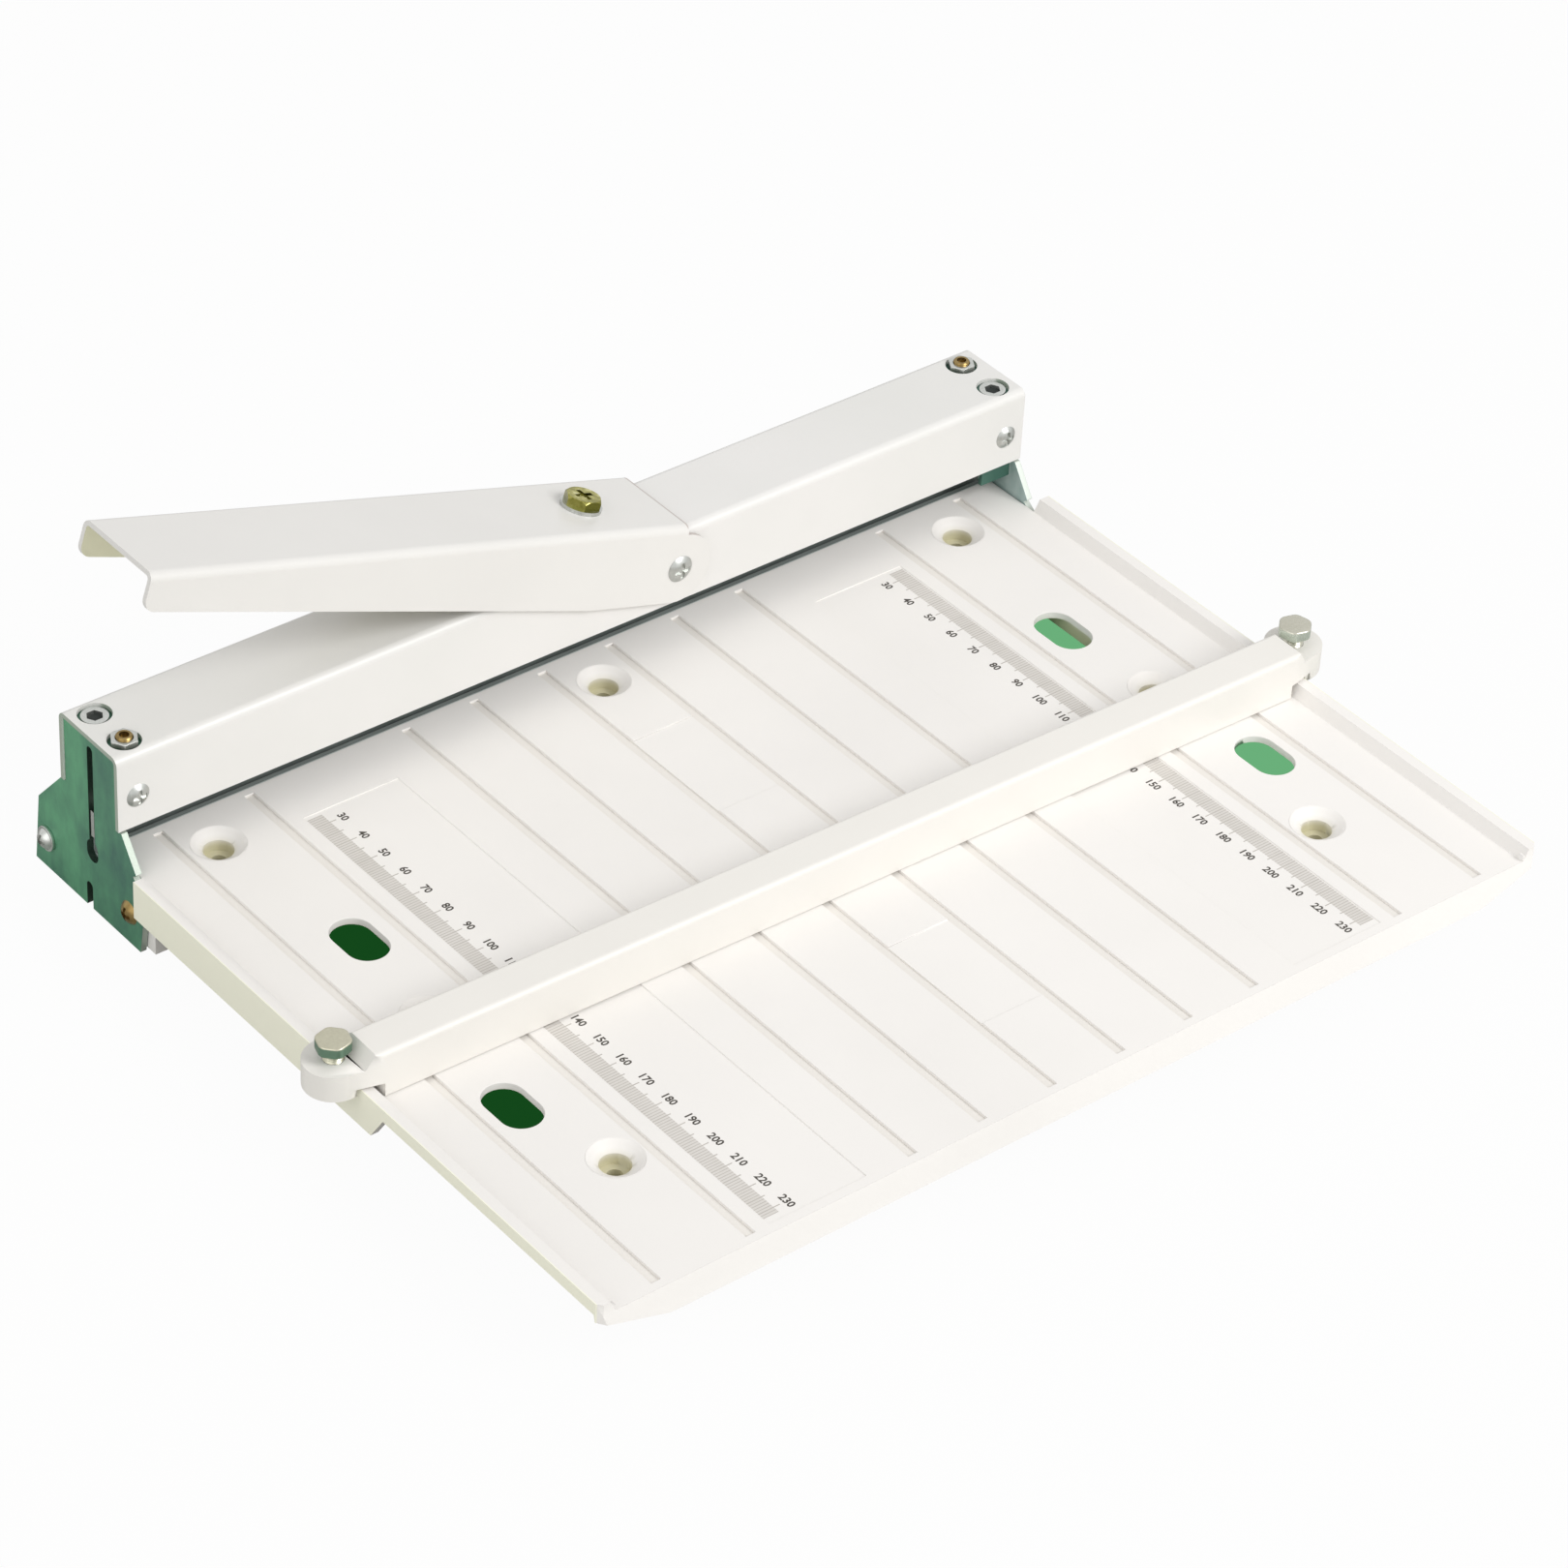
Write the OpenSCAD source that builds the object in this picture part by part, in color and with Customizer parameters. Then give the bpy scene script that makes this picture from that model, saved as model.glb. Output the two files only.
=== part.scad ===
// Hand paper creasing machine: a ribbed bed, a lever-driven blade in a steel beam, and a sliding stop bar.
// Millimetres, +Z up, +X along the beam, +Y to the back. The feet stand on Z = 0.

/* [Bed] */
// From the crease line to the bed's front edge
bed_reach = 240; // [238:1:250]
// Height of the bed's top surface above the desk
bed_h = 25; // [24:0.5:28]
// Thickness of the moulded deck
deck_t = 2.2; // [2:0.1:3]
// Depth of the moulded lines
line_d = 0.9; // [0.5:0.1:1]
// Width of a moulded line
line_w = 3; // [2:0.1:4]
// From the moulded lines to the bed's rear edge
line_rear = 2.6; // [2:0.1:4]
// From the moulded lines to the bed's front edge
line_front = 5; // [4:0.1:6]
// Distance of the two inner lines from the middle
line_a = 12.2; // [11.5:0.1:14]
// Distance of the second lines from the middle
line_b = 36.6; // [30:0.1:44]
// Distance of the third lines from the middle
line_c = 60.6; // [52:0.1:66]
// Distance of the fourth lines from the middle
line_f = 114.8; // [113:0.1:115.2]
// Distance of the outer lines from the middle
line_e = 145.5; // [144.5:0.1:146.5]
// Width of a scale pad
pad_w = 32.5; // [28:0.5:34]
// Distance of a scale pad's centre from the middle
pad_x = 92.25; // [90:0.25:94]
// From the crease line to the rear end of a scale pad
pad_from = 24.4; // [22:0.2:30]
// Depth of the sunken pads
pad_d = 0.4; // [0.2:0.1:0.6]
// From the bed's front edge to the front end of a scale pad
pad_front = 5.5; // [4:0.1:8]
// Width of the two centre pads
centre_pad_w = 22; // [21.8:0.1:24]
// From the crease line to the rear centre pad
centre_pad_rear = 48.7; // [40:0.1:60]
// From the crease line to the front centre pad
centre_pad_front = 164.1; // [150:0.1:170]
// Length of a centre pad
centre_pad_l = 40; // [30:0.5:44]
// Width of a side rail
rail_w = 5.5; // [5:0.1:5.6]
// Height of a side rail's lip above the bed's surface
lip_h = 3.7; // [2.6:0.1:4]
// Thickness of the bed's front edge at the rails
edge_t = 4; // [3.4:0.1:4.4]
// Depth of the rear half of a rail below the bed's surface
rail_drop = 8.8; // [8:0.1:9.4]
// Wall thickness of the deep rear half of a rail
rail_wall = 2.5; // [2:0.1:3]
// From the crease line to the front end of the deep rail
rail_len = 144; // [138:0.5:150]
// Slope length at the front end of the deep rail
rail_slope = 5.5; // [3:0.5:9]
// Height of the bed's front skirt below the bed's surface
front_drop = 8; // [7:0.5:9]
// Lean of the front skirt
front_lean = 2; // [1:0.5:3]
// Width of the cut at each lower corner of the front skirt
corner_w = 22; // [14:1:28]
// Height of the cut at each lower corner of the front skirt
corner_h = 5.5; // [3:0.5:6]
// Cut of the bed's front corners, seen from above
corner_cut = 3.5; // [2:0.1:4.5]

/* [Bed holes] */
// Distance of the rear fixing holes from the middle
rear_hole_x = 134.4; // [133:0.1:136]
// From the crease line to the rear fixing holes
rear_hole_y = 20.5; // [20:0.1:22]
// Distance of the front fixing holes from the middle
front_hole_x = 125; // [124.5:0.1:134]
// From the crease line to the front fixing holes
front_hole_y = 191; // [184:0.5:200]
// Distance of the middle dimples from the middle
mid_hole_x = 130.5; // [126:0.1:134]
// From the crease line to the middle dimples
mid_hole_y = 115; // [112:0.5:117]
// Diameter of a fixing hole
hole_d = 4.5; // [4:0.1:5.5]
// Diameter of a fixing hole's countersink
sink_d = 16; // [14:0.1:16.2]
// Depth of a fixing hole's countersink
sink_h = 2.4; // [1.8:0.1:3]
// Diameter of the bore below a countersink
bore_d = 9; // [8:0.1:9.6]
// Depth of that bore below the bed's surface
bore_h = 6; // [5:0.1:6.6]
// Length of an obround hole
slot_l = 20; // [19:0.1:23]
// Width of an obround hole
slot_w = 12.6; // [11:0.1:13]
// Distance of the rear obround holes from the middle
rear_slot_x = 127; // [125:0.1:134]
// From the crease line to the rear obround holes
rear_slot_y = 78; // [70:0.5:84]
// Distance of the front obround holes from the middle
front_slot_x = 134.5; // [125:0.1:136]
// From the crease line to the front obround holes
front_slot_y = 158.5; // [150:0.5:166]
// Diameter of the bosses under the fixing holes
boss_d = 14; // [12:0.5:15]

/* [Feet] */
// Diameter of a rubber foot
foot_d = 17; // [14:0.5:18]
// Height of a rubber foot
foot_h = 15; // [12:0.5:16]

/* [Side plates] */
// Sheet thickness of the side plates
plate_t = 2; // [1.6:0.1:2.2]
// Distance of the plates' faces inside the ends of the cover
plate_inset = 0.5; // [0.3:0.1:0.8]
// From the crease line to the front of a plate's foot
foot_front = 25; // [24:0.1:25.4]
// From the crease line to the back of a plate's foot
foot_back = 30; // [29:0.5:34]
// Gap between a plate's foot and the desk
plate_lift = 1; // [0.6:0.1:2]
// Width of the guide slot
guide_slot_w = 2.8; // [2.4:0.1:3.4]
// Width of the keyhole at the foot of the guide slot
keyhole_w = 5.6; // [5:0.1:6.2]
// Height of the keyhole at the foot of the guide slot
keyhole_h = 7.4; // [6.6:0.1:8]
// Width of the small slot in the plate's foot
foot_slot_w = 3; // [2:0.1:4]
// Height of the small slot in the plate's foot
foot_slot_h = 8.6; // [7:0.1:9]
// Step of a plate outwards below the cover
knee_out = 0.6; // [0.2:0.1:1]
// Inset of the rear shoulder from the back of a plate's foot
shoulder_in = 2.4; // [1:0.1:4]
// Depth of the rear shoulder below the bed's surface
shoulder_drop = 0.9; // [0:0.1:3]
// Inset of a plate's front toe
toe_in = 1.6; // [0.5:0.1:3]
// Depth of the front step below the bed's surface
step_drop = 2.7; // [2:0.1:4]
// Depth of the front notch behind the front of a plate's foot
notch_in = 4.6; // [3.6:0.1:6]
// Height of the front nose above the bed's surface
nose_h = 2; // [1:0.1:3]
// Inset of the front nose from the front of a plate's foot
nose_in = 3; // [2:0.1:3.4]
// Offset of the small foot slot behind the crease line
foot_slot_y = 2; // [0:0.1:4]
// Sheet thickness of the folded tabs
tab_t = 1.5; // [1.2:0.1:1.6]
// Length of the folded tabs along the beam
tab_l = 11.2; // [10.6:0.1:11.6]
// Height of the long tab's lower edge above the bed
tab_low = 6.5; // [5.6:0.1:8]
// Height of the folded tabs' upper edge above the bed
tab_high = 30; // [28:0.5:32]
// Distance from the crease line to the tie bar
tie_y = 23.4; // [22.4:0.1:24]
// Depth of the side screws below the bed's surface
side_screw_drop = 13.3; // [12:0.1:14]
// From the crease line to the front side screws
front_screw_y = 18.1; // [18:0.1:19]
// Diameter of the tie bar
tie_d = 10; // [8:0.5:11]

/* [Beam cover] */
// Depth of the cover from front to back
cover_d = 29; // [28.6:0.2:31]
// Height of the cover
cover_h = 24.7; // [24:0.1:25.4]
// Sheet thickness of the cover
cover_t = 1.5; // [1.2:0.1:1.6]
// Outer bend radius of the cover
cover_r = 2.6; // [2:0.1:3.4]
// Height of the cover's lower edge above the bed's surface
cover_gap = 12.4; // [12:0.1:12.8]
// Height of the cover's rear edge above its front edge
rear_lift = 1.3; // [0:0.1:2]
// From a plate's inner face to the cover screws
cover_screw_in = 4.2; // [3.9:0.1:5.2]
// Height of the cover screws above the cover's lower edge
cover_screw_h = 10.2; // [9:0.1:11]
// Width of the window under the pusher
window_w = 14; // [13.2:0.2:16]
// Length of the window under the pusher
window_l = 20; // [19:0.5:24]

/* [Handle] */
// Length from the pivot to the handle's tip
handle_l = 194; // [182:0.5:197]
// Sheet thickness of the handle
handle_t = 1.5; // [1.2:0.1:1.8]
// Gap between the cover and the handle's cheeks
handle_gap = 0.5; // [0.4:0.05:0.8]
// Outer bend radius of the handle
handle_r = 2.6; // [2:0.1:3.2]
// Height of the handle's web above the pivot
web_h = 13.9; // [13.7:0.1:14.6]
// Height of the cheeks' lower edge above the pivot at the tip
tip_low = 2.4; // [0:0.1:4]
// Radius of the cheeks' lower corner at the tip
tip_r = 4; // [2:0.1:5]
// Depth of the cheeks below the pivot
heel_r = 11.3; // [10:0.1:11.5]
// From the pivot to where the cheeks begin to narrow
heel_l = 31; // [26:0.5:40]
// Depth of the pivot below the cover's top
pivot_drop = 11.75; // [11.5:0.05:12]
// Distance of the pivot from the middle
pivot_x = 30; // [28:0.1:32]
// Resting angle of the raised handle
rest_deg = 17.1; // [17:0.1:18]
// Diameter of the pivot screw
pivot_d = 5; // [4:0.1:5.4]
// From the pivot to the pusher bolt
pusher_arm = 30; // [29:0.1:31]
// Diameter of the pusher bolt
pusher_d = 6; // [5:0.1:6.4]
// Gap between the resting pusher and the carriage
pusher_gap = 0.3; // [0.2:0.05:0.4]
// Thickness of the pusher's washer
washer_t = 1.2; // [0.8:0.1:1.4]
// Diameter of the pusher's washer
pusher_washer_d = 12.5; // [12:0.5:15]
// Width across flats of the pusher bolt's head
pusher_head_d = 10; // [9:0.5:11]
// Height of the pusher bolt's head
pusher_head_h = 2.8; // [2.4:0.1:3.6]
// Thickness of the pusher's lock nut
jam_h = 3; // [2.4:0.1:3.4]

/* [Carriage and blade] */
// Height of the resting blade's edge above the die
blade_gap = 7; // [6.9:0.1:7.1]
// Thickness of the blade
blade_t = 1.6; // [1.2:0.1:1.7]
// Length of the blade's creasing edge
blade_l = 296; // [292:0.5:296.5]
// Height of the blade below the carriage
blade_out = 6.4; // [6.2:0.1:6.6]
// Height of the blade inside the carriage
blade_in = 4; // [3:0.1:5]
// Height of the blade's end tabs
blade_tab_h = 8.9; // [8.4:0.1:9]
// Drop of the blade's end tabs below its edge
blade_tab_drop = 4; // [3.4:0.1:4.2]
// Height of the carriage bar
carriage_h = 8; // [7:0.1:8.2]
// Depth of the carriage bar
carriage_d = 21.8; // [21:0.1:22]
// Width of the forks at the carriage's ends
fork_w = 7; // [6.4:0.1:7.4]
// From a plate's inner face to the guide posts and depth screws
post_in = 4.7; // [4.3:0.1:5.1]
// Distance of the guide posts and depth screws from the crease line
post_y = 7.4; // [7.3:0.05:7.5]
// Diameter of the guide posts
post_d = 5; // [4.4:0.1:5.1]
// Diameter of a guide post's socket head
post_head_d = 8; // [7.4:0.1:8.2]
// Height of a guide post's socket head
post_head_h = 0.9; // [0.6:0.1:1.4]
// Width across flats of a guide post's socket
post_socket = 4.4; // [3.6:0.1:4.6]
// Diameter of the depth screws
depth_d = 5; // [4.4:0.1:5.1]
// Width across flats of the depth screws' lock nuts
depth_nut_af = 7.4; // [7:0.1:8]
// Height of the depth screws' lock nuts
depth_nut_h = 2.6; // [2.4:0.1:3.4]
// Height of the depth screws above their lock nuts
depth_top = 0.8; // [0.6:0.1:1.6]
// Width across flats of a depth screw's socket
depth_socket = 2.5; // [2:0.1:3]
// Wire diameter of the return springs
wire_d = 0.8; // [0.6:0.05:0.9]
// Mean radius of the return springs
spring_r = 2; // [1.8:0.05:2.1]
// Number of curls in a return spring
spring_turns = 11; // [9:1:12]

/* [Die] */
// Reach of the die rail past each end of the creasing edge
die_over = 12.4; // [12:0.1:13]
// Width of the die rail
die_w = 8; // [7.6:0.1:8.4]
// Depth of the die's top below the bed's surface
die_drop = 1.4; // [1.2:0.1:1.6]
// Height of the die rail
die_h = 8.6; // [8:0.1:9]
// Width of the crease matrix
matrix_w = 4.8; // [4.4:0.1:5]
// Height of the crease matrix
matrix_h = 4.6; // [4:0.1:5]
// Width of the crease groove
groove_w = 2; // [1.9:0.1:2.4]
// Depth of the crease groove
groove_d = 2; // [1.8:0.1:2.4]
// Distance of the outer die screws from the middle
die_screw_x = 110; // [90:1:125]

/* [Stop bar] */
// From the crease line to the stop's back face
stop_at = 126.2; // [125.5:0.1:127]
// Skew of the clamped stop bar from square
stop_skew = 1.1; // [0:0.1:1.2]
// Depth of the stop bar
stop_d = 13.2; // [12:0.1:14]
// Height of the stop bar
stop_h = 14.6; // [13:0.1:15]
// Length of the slope from the stop bar down to a lug
ramp_l = 3; // [2.6:0.1:3.2]
// Edge radius of the stop bar
stop_r = 1.6; // [1:0.1:2.4]
// Radius of the lugs
lug_r = 8.6; // [8.2:0.1:9]
// Height of the lugs' underside above the bed's surface
lug_low = 4.6; // [4.3:0.1:5]
// Thickness of the lugs
lug_t = 5.6; // [5:0.1:6]
// Drop of the lugs' outer lips past the side rails
lug_drop = 2.6; // [1.6:0.1:3]
// Distance of the clamp bolts outside the side rails
bolt_out = 2.8; // [2.5:0.1:3.2]
// From the stop's back face to the clamp bolts
bolt_in = 2.3; // [1.8:0.1:2.8]
// Diameter of the clamp bolts
bolt_d = 6; // [5:0.1:6.1]
// Width across flats of the clamp bolts' heads
bolt_af = 9.4; // [9:0.1:9.6]
// Height of the clamp bolts' heads
bolt_head_h = 3.2; // [2.8:0.1:3.8]
// Bare thread under the clamp bolts' heads
bolt_gap = 3.5; // [3.2:0.1:4]
// Angle at which the clamp bolts' heads stand
bolt_turn = 45; // [0:1:60]

/* [Hidden] */
$fn = 64;
eps = 0.05;
fit = 0.05;
seat = 0.1;
clear = 0.3;
rail_gap = 0.6;
side_gap = 0.2;
knee_drop = 0.3;
notch_h = 1.4;
lip_run = 2;
through = 60;
ivory = "#e8e2d6";
white = "#f4f3ef";
zinc = "#8fa39a";
steel = "#b9bdbb";
brass = "#c8a24a";
black = "#2a2b2a";
rubber = "#333333";
aluminium = "#c9ccd0";
crease_y = (bed_reach - foot_back) / 2;
front_y = crease_y - bed_reach;
line_z = bed_h - line_d;
pad_z = bed_h - pad_d;
deck_low = bed_h - deck_t;
die_l = blade_l + 2 * die_over;
plate_in = die_l / 2 + clear;
plate_out = plate_in + plate_t;
cover_l = 2 * (plate_out + plate_inset);
deck_x = plate_in - side_gap;
rail_x = deck_x + rail_w;
plate_low = plate_lift;
cover_low = bed_h + cover_gap;
cover_top = cover_low + cover_h;
knee_z = cover_low - knee_drop;
rear_low = cover_low + rear_lift;
rear_knee_z = rear_low - knee_drop;
cover_screw_x = plate_in - cover_screw_in;
nut_gap = 1.2;
head_gap = 2;
cover_in = cover_d / 2 - cover_t;
lid_top = cover_top - cover_t - seat;
lid_low = lid_top - plate_t;
tab_face = cover_in - seat;
tab_mid = tab_face - tab_t / 2;
tab_x = plate_in - tab_l;
die_top = bed_h - die_drop;
die_low = die_top - die_h;
ledge_t = 3;
ledge_back = die_w / 2 + 2;
wall_t = 3;
bed_rear = crease_y - die_w / 2 - side_gap;
wall_y = bed_rear - wall_t;
blade_low = die_top + blade_gap;
carriage_low = blade_low + blade_out;
carriage_top = carriage_low + carriage_h;
carriage_x = plate_in - 3 * clear;
blade_x = plate_out - clear;
blade_tab_low = blade_low - blade_tab_drop;
blade_tab_top = blade_tab_low + blade_tab_h;
press = 8.3;
slot_low = blade_tab_low - press - clear;
slot_top = lid_low - 2 * clear;
blade_lap = 4;
blade_relief = 0.4;
fork_gap = 3.5;
fork_from = blade_l / 2 + fork_gap;
tab_slot_from = blade_l / 2 + blade_relief - 2 * clear;
tab_slot_w = blade_t + 2 * clear;
post_x = plate_in - post_in;
post_low = carriage_low - press / 2;
socket_h = 2.4;
side_z = bed_h - side_screw_drop;
pivot_z = cover_top - pivot_drop;
handle_w = cover_d + 2 * (handle_gap + handle_t);
web_low = web_h - handle_t;
web_end = (web_low * cos(rest_deg) - pivot_drop - clear) / sin(rest_deg);
ball_r = pusher_d / 2;
ball_v = (carriage_top + pusher_gap + ball_r - pivot_z - pusher_arm * sin(rest_deg)) / cos(rest_deg);
cheek_lean = atan((heel_r + tip_low) / (handle_l - heel_l));
spring_x = plate_in - spring_r - wire_d / 2 - 2 * side_gap;
spring_low = blade_tab_top;
spring_high = lid_low;
spring_len = spring_high - spring_low;
spring_end = 1.6;
spring_seat = 0.02;
spring_aim = [0.31, 0.95, 0.02];
spring_sides = 6;
spring_rings = 8;
stop_y = crease_y - stop_at - stop_d / 2;
stop_low = bed_h + clear;
stop_top = stop_low + stop_h;
stop_x = deck_x - 3 * clear;
bolt_x = rail_x + bolt_out;
bolt_y = crease_y - stop_at - bolt_in;
lug_z = bed_h + lug_low;
lug_top = lug_z + lug_t;
bolt_head_z = lug_z + lug_t + bolt_gap;
bolt_low = bed_h + lip_h + clear;
bolt_chamfer = 0.2;
ramp_gap = 1.2;
ramp_x = bolt_x - bolt_af / sqrt(3) - ramp_gap;
stop_front = stop_y - stop_d / 2;
stop_back = stop_y + stop_d / 2;
side_head_d = 6.4;
side_head_h = 2;
small_head_d = 7.4;
small_head_h = 1.6;
recess_l = 0.6;
recess_w = 0.15;
side_l = 12;
front_l = 10;
cover_screw_l = cover_t + tab_t + 1;
pivot_head_d = 8.6;
pivot_tail = 5;
pivot_nut_h = 3.6;
side_d = 4;
side_washer_d = 7.8;
side_washer_t = 1;
cheek_l = 10;
cheek_front = 27.7;
cheek_low = 2;
die_web = 0.5;
window_off = 1;
boss_low = foot_h;
small_boss_drop = 8;
stiff_w = 2;
stiff_h = 5;
outer_stiff_x = rear_slot_x + slot_w / 2 + stiff_w;
grub_d = 3;
grub_in = 0.4;
grub_socket = 1;
grub_x = 120;

// Extrudes a (Y, Z) outline along X, centred
module along_x(length) {
    rotate([90, 0, 90])
        linear_extrude(length, center = true)
            children();
}

// Extrudes an (X, Z) outline along Y, centred
module along_y(length) {
    rotate([90, 0, 0])
        linear_extrude(length, center = true)
            children();
}

// Rectangle on the base line with two rounded upper corners
module rounded_top(w, h, r) {
    translate([-w / 2, 0])
        square([w, h - r]);
    translate([-w / 2 + r, 0])
        square([w - 2 * r, h]);
    for (s = [-1, 1])
        translate([s * (w / 2 - r), h - r])
            circle(r);
}

// Obround along Y
module obround(w, l) {
    for (s = [-1, 1])
        translate([0, s * (l - w) / 2])
            circle(d = w);
    square([w, l - w], center = true);
}

// Box from one corner to the opposite corner
module span(a, b) {
    translate(a)
        cube(b - a);
}

// Cross-head pan screw: head above Z = 0, shank below
module pan_screw(d, l, head_d, head_h) {
    dome_r = (head_d * head_d / 4 + head_h * head_h) / (2 * head_h);
    difference() {
        intersection() {
            cylinder(d = head_d, h = head_h);
            translate([0, 0, head_h - dome_r])
                sphere(dome_r, $fn = 96);
        }
        translate([0, 0, head_h])
            cross_recess(head_d, head_h / 2);
    }
    translate([0, 0, -l])
        cylinder(d = d, h = l + eps);
}

// Hexagonal nut blank of a given width across flats
module hex(af, h) {
    cylinder(d = af / cos(30), h = h, $fn = 6);
}

// Hexagonal bolt head with its upper corners turned off
module hex_head(af, h) {
    intersection() {
        hex(af, h);
        translate([0, 0, -af / 2 - bolt_chamfer])
            cylinder(d1 = 2 * (af + h), d2 = af, h = af / 2 + h + bolt_chamfer);
    }
}

// Crossed slots of a screw head, centred on its top
module cross_recess(d, depth) {
    for (a = [0, 90])
        rotate([0, 0, a])
            cube([d * recess_l, d * recess_w, 2 * depth], center = true);
}

// Repeats its children on the left and mirrored on the right
module both_sides() {
    children();
    mirror([1, 0, 0])
        children();
}

module fixing_holes() {
    for (s = [-1, 1]) {
        translate([s * rear_hole_x, crease_y - rear_hole_y, 0])
            children();
        translate([s * front_hole_x, crease_y - front_hole_y, 0])
            children();
    }
}

module small_holes() {
    translate([0, crease_y - rear_hole_y, 0])
        children();
    for (s = [-1, 1])
        translate([s * mid_hole_x, crease_y - mid_hole_y, 0])
            children();
}

module countersunk_hole() {
    translate([0, 0, -eps])
        cylinder(d = hole_d, h = through);
    translate([0, 0, bed_h - bore_h])
        cylinder(d = bore_d, h = bore_h);
    translate([0, 0, bed_h - sink_h])
        cylinder(d1 = bore_d, d2 = sink_d, h = sink_h);
    translate([0, 0, bed_h - eps])
        cylinder(d = sink_d, h = through);
}

module bed_rails() {
    rail_rear = crease_y - foot_front - rail_gap;
    lip_z = bed_h + lip_h;
    edge_low = lip_z - edge_t;
    rail_front = front_y + front_lean;
    both_sides() {
        span([deck_x, rail_front + side_gap, bed_h - deck_t / 2],
            [rail_x - side_gap, rail_front + deck_t - side_gap, edge_low + edge_t / 2]);
        translate([0, (rail_rear + rail_front) / 2, 0])
            along_y(rail_rear - rail_front)
                polygon([[deck_x - eps, deck_low], [deck_x - eps, bed_h], [deck_x + lip_run, lip_z],
                    [rail_x, lip_z], [rail_x, edge_low], [rail_x - rail_wall, edge_low],
                    [deck_x + 2 * side_gap, deck_low]]);
        translate([rail_x - rail_wall / 2, crease_y, 0])
            along_x(rail_wall)
                polygon([[-foot_front - rail_gap, edge_low + eps],
                    [-foot_front - rail_gap, bed_h - rail_drop],
                    [rail_slope - rail_len, bed_h - rail_drop], [-rail_len, edge_low + eps]]);
    }
}

// Sunken lines and pads, as the solid that is taken out of the deck
module bed_lines() {
    for (x = [line_a, line_b, line_c, line_f, line_e])
        for (s = [-1, 1])
            span([s * x - line_w / 2, front_y + line_front, line_z],
                [s * x + line_w / 2, bed_rear - line_rear, bed_h + deck_t]);
    for (s = [-1, 1])
        span([s * pad_x - pad_w / 2, front_y + pad_front, pad_z],
            [s * pad_x + pad_w / 2, crease_y - pad_from, bed_h + deck_t]);
    for (y = [centre_pad_rear, centre_pad_front])
        span([-centre_pad_w / 2, crease_y - y - centre_pad_l, pad_z],
            [centre_pad_w / 2, crease_y - y, bed_h + deck_t]);
}

module bed_deck() {
    span([-deck_x, front_y + front_lean, deck_low], [deck_x, bed_rear, bed_h]);
    intersection() {
        along_x(2 * rail_x)
            polygon([[front_y + front_lean, bed_h], [front_y, bed_h - front_drop],
                [front_y + deck_t, bed_h - front_drop], [front_y + front_lean + deck_t, bed_h]]);
        translate([0, front_y, 0])
            along_y(through)
                polygon([[-rail_x, bed_h + lip_h], [rail_x, bed_h + lip_h],
                    [rail_x, bed_h - front_drop + corner_h],
                    [rail_x - corner_w, bed_h - front_drop], [corner_w - rail_x, bed_h - front_drop],
                    [-rail_x, bed_h - front_drop + corner_h]]);
    }
}

module bed_under() {
    span([-deck_x, wall_y, die_low - ledge_t], [deck_x, bed_rear, deck_low + eps]);
    span([-deck_x, wall_y, die_low - ledge_t], [deck_x, crease_y + ledge_back, die_low]);
    both_sides()
        difference() {
            span([deck_x - cheek_l, crease_y - cheek_front, cheek_low],
                [deck_x, wall_y + eps, deck_low + eps]);
            translate([plate_in, crease_y - front_screw_y, side_z])
                rotate([0, 90, 0])
                    cylinder(d = side_d + 2 * fit, h = 3 * cheek_l, center = true);
        }
    for (s = [-1, 1])
        span([s * line_c - stiff_w / 2, front_y + deck_t, deck_low - stiff_h],
            [s * line_c + stiff_w / 2, wall_y + eps, deck_low + eps]);
    for (s = [-1, 1])
        span([s * outer_stiff_x - stiff_w / 2, crease_y - mid_hole_y, deck_low - stiff_h],
            [s * outer_stiff_x + stiff_w / 2, crease_y - rear_hole_y, deck_low + eps]);
    fixing_holes()
        translate([0, 0, boss_low])
            cylinder(d = boss_d, h = deck_low - boss_low + eps);
    small_holes()
        translate([0, 0, deck_low - small_boss_drop])
            cylinder(d = boss_d, h = small_boss_drop + eps);
}

module table() {
    color(ivory)
        difference() {
            union() {
                bed_deck();
                bed_rails();
                bed_under();
            }
            bed_lines();
            fixing_holes()
                countersunk_hole();
            small_holes()
                countersunk_hole();
            both_sides()
                translate([rail_x, front_y, 0])
                    rotate([0, 0, 45])
                        cube([corner_cut * sqrt(2), corner_cut * sqrt(2), 2 * through], center = true);
            for (s = [-1, 1]) {
                translate([s * rear_slot_x, crease_y - rear_slot_y, 0])
                    linear_extrude(through)
                        obround(slot_w, slot_l);
                translate([s * front_slot_x, crease_y - front_slot_y, 0])
                    linear_extrude(through)
                        obround(slot_w, slot_l);
            }
            for (x = [-die_screw_x, 0, die_screw_x])
                translate([x, crease_y, 0])
                    cylinder(d = side_d + 2 * fit, h = die_low + eps);
        }
}

module rubber_feet() {
    color(rubber)
        fixing_holes()
            difference() {
                cylinder(d = foot_d, h = foot_h);
                translate([0, 0, -eps])
                    cylinder(d = hole_d, h = foot_h + 2 * eps);
            }
}

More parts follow.
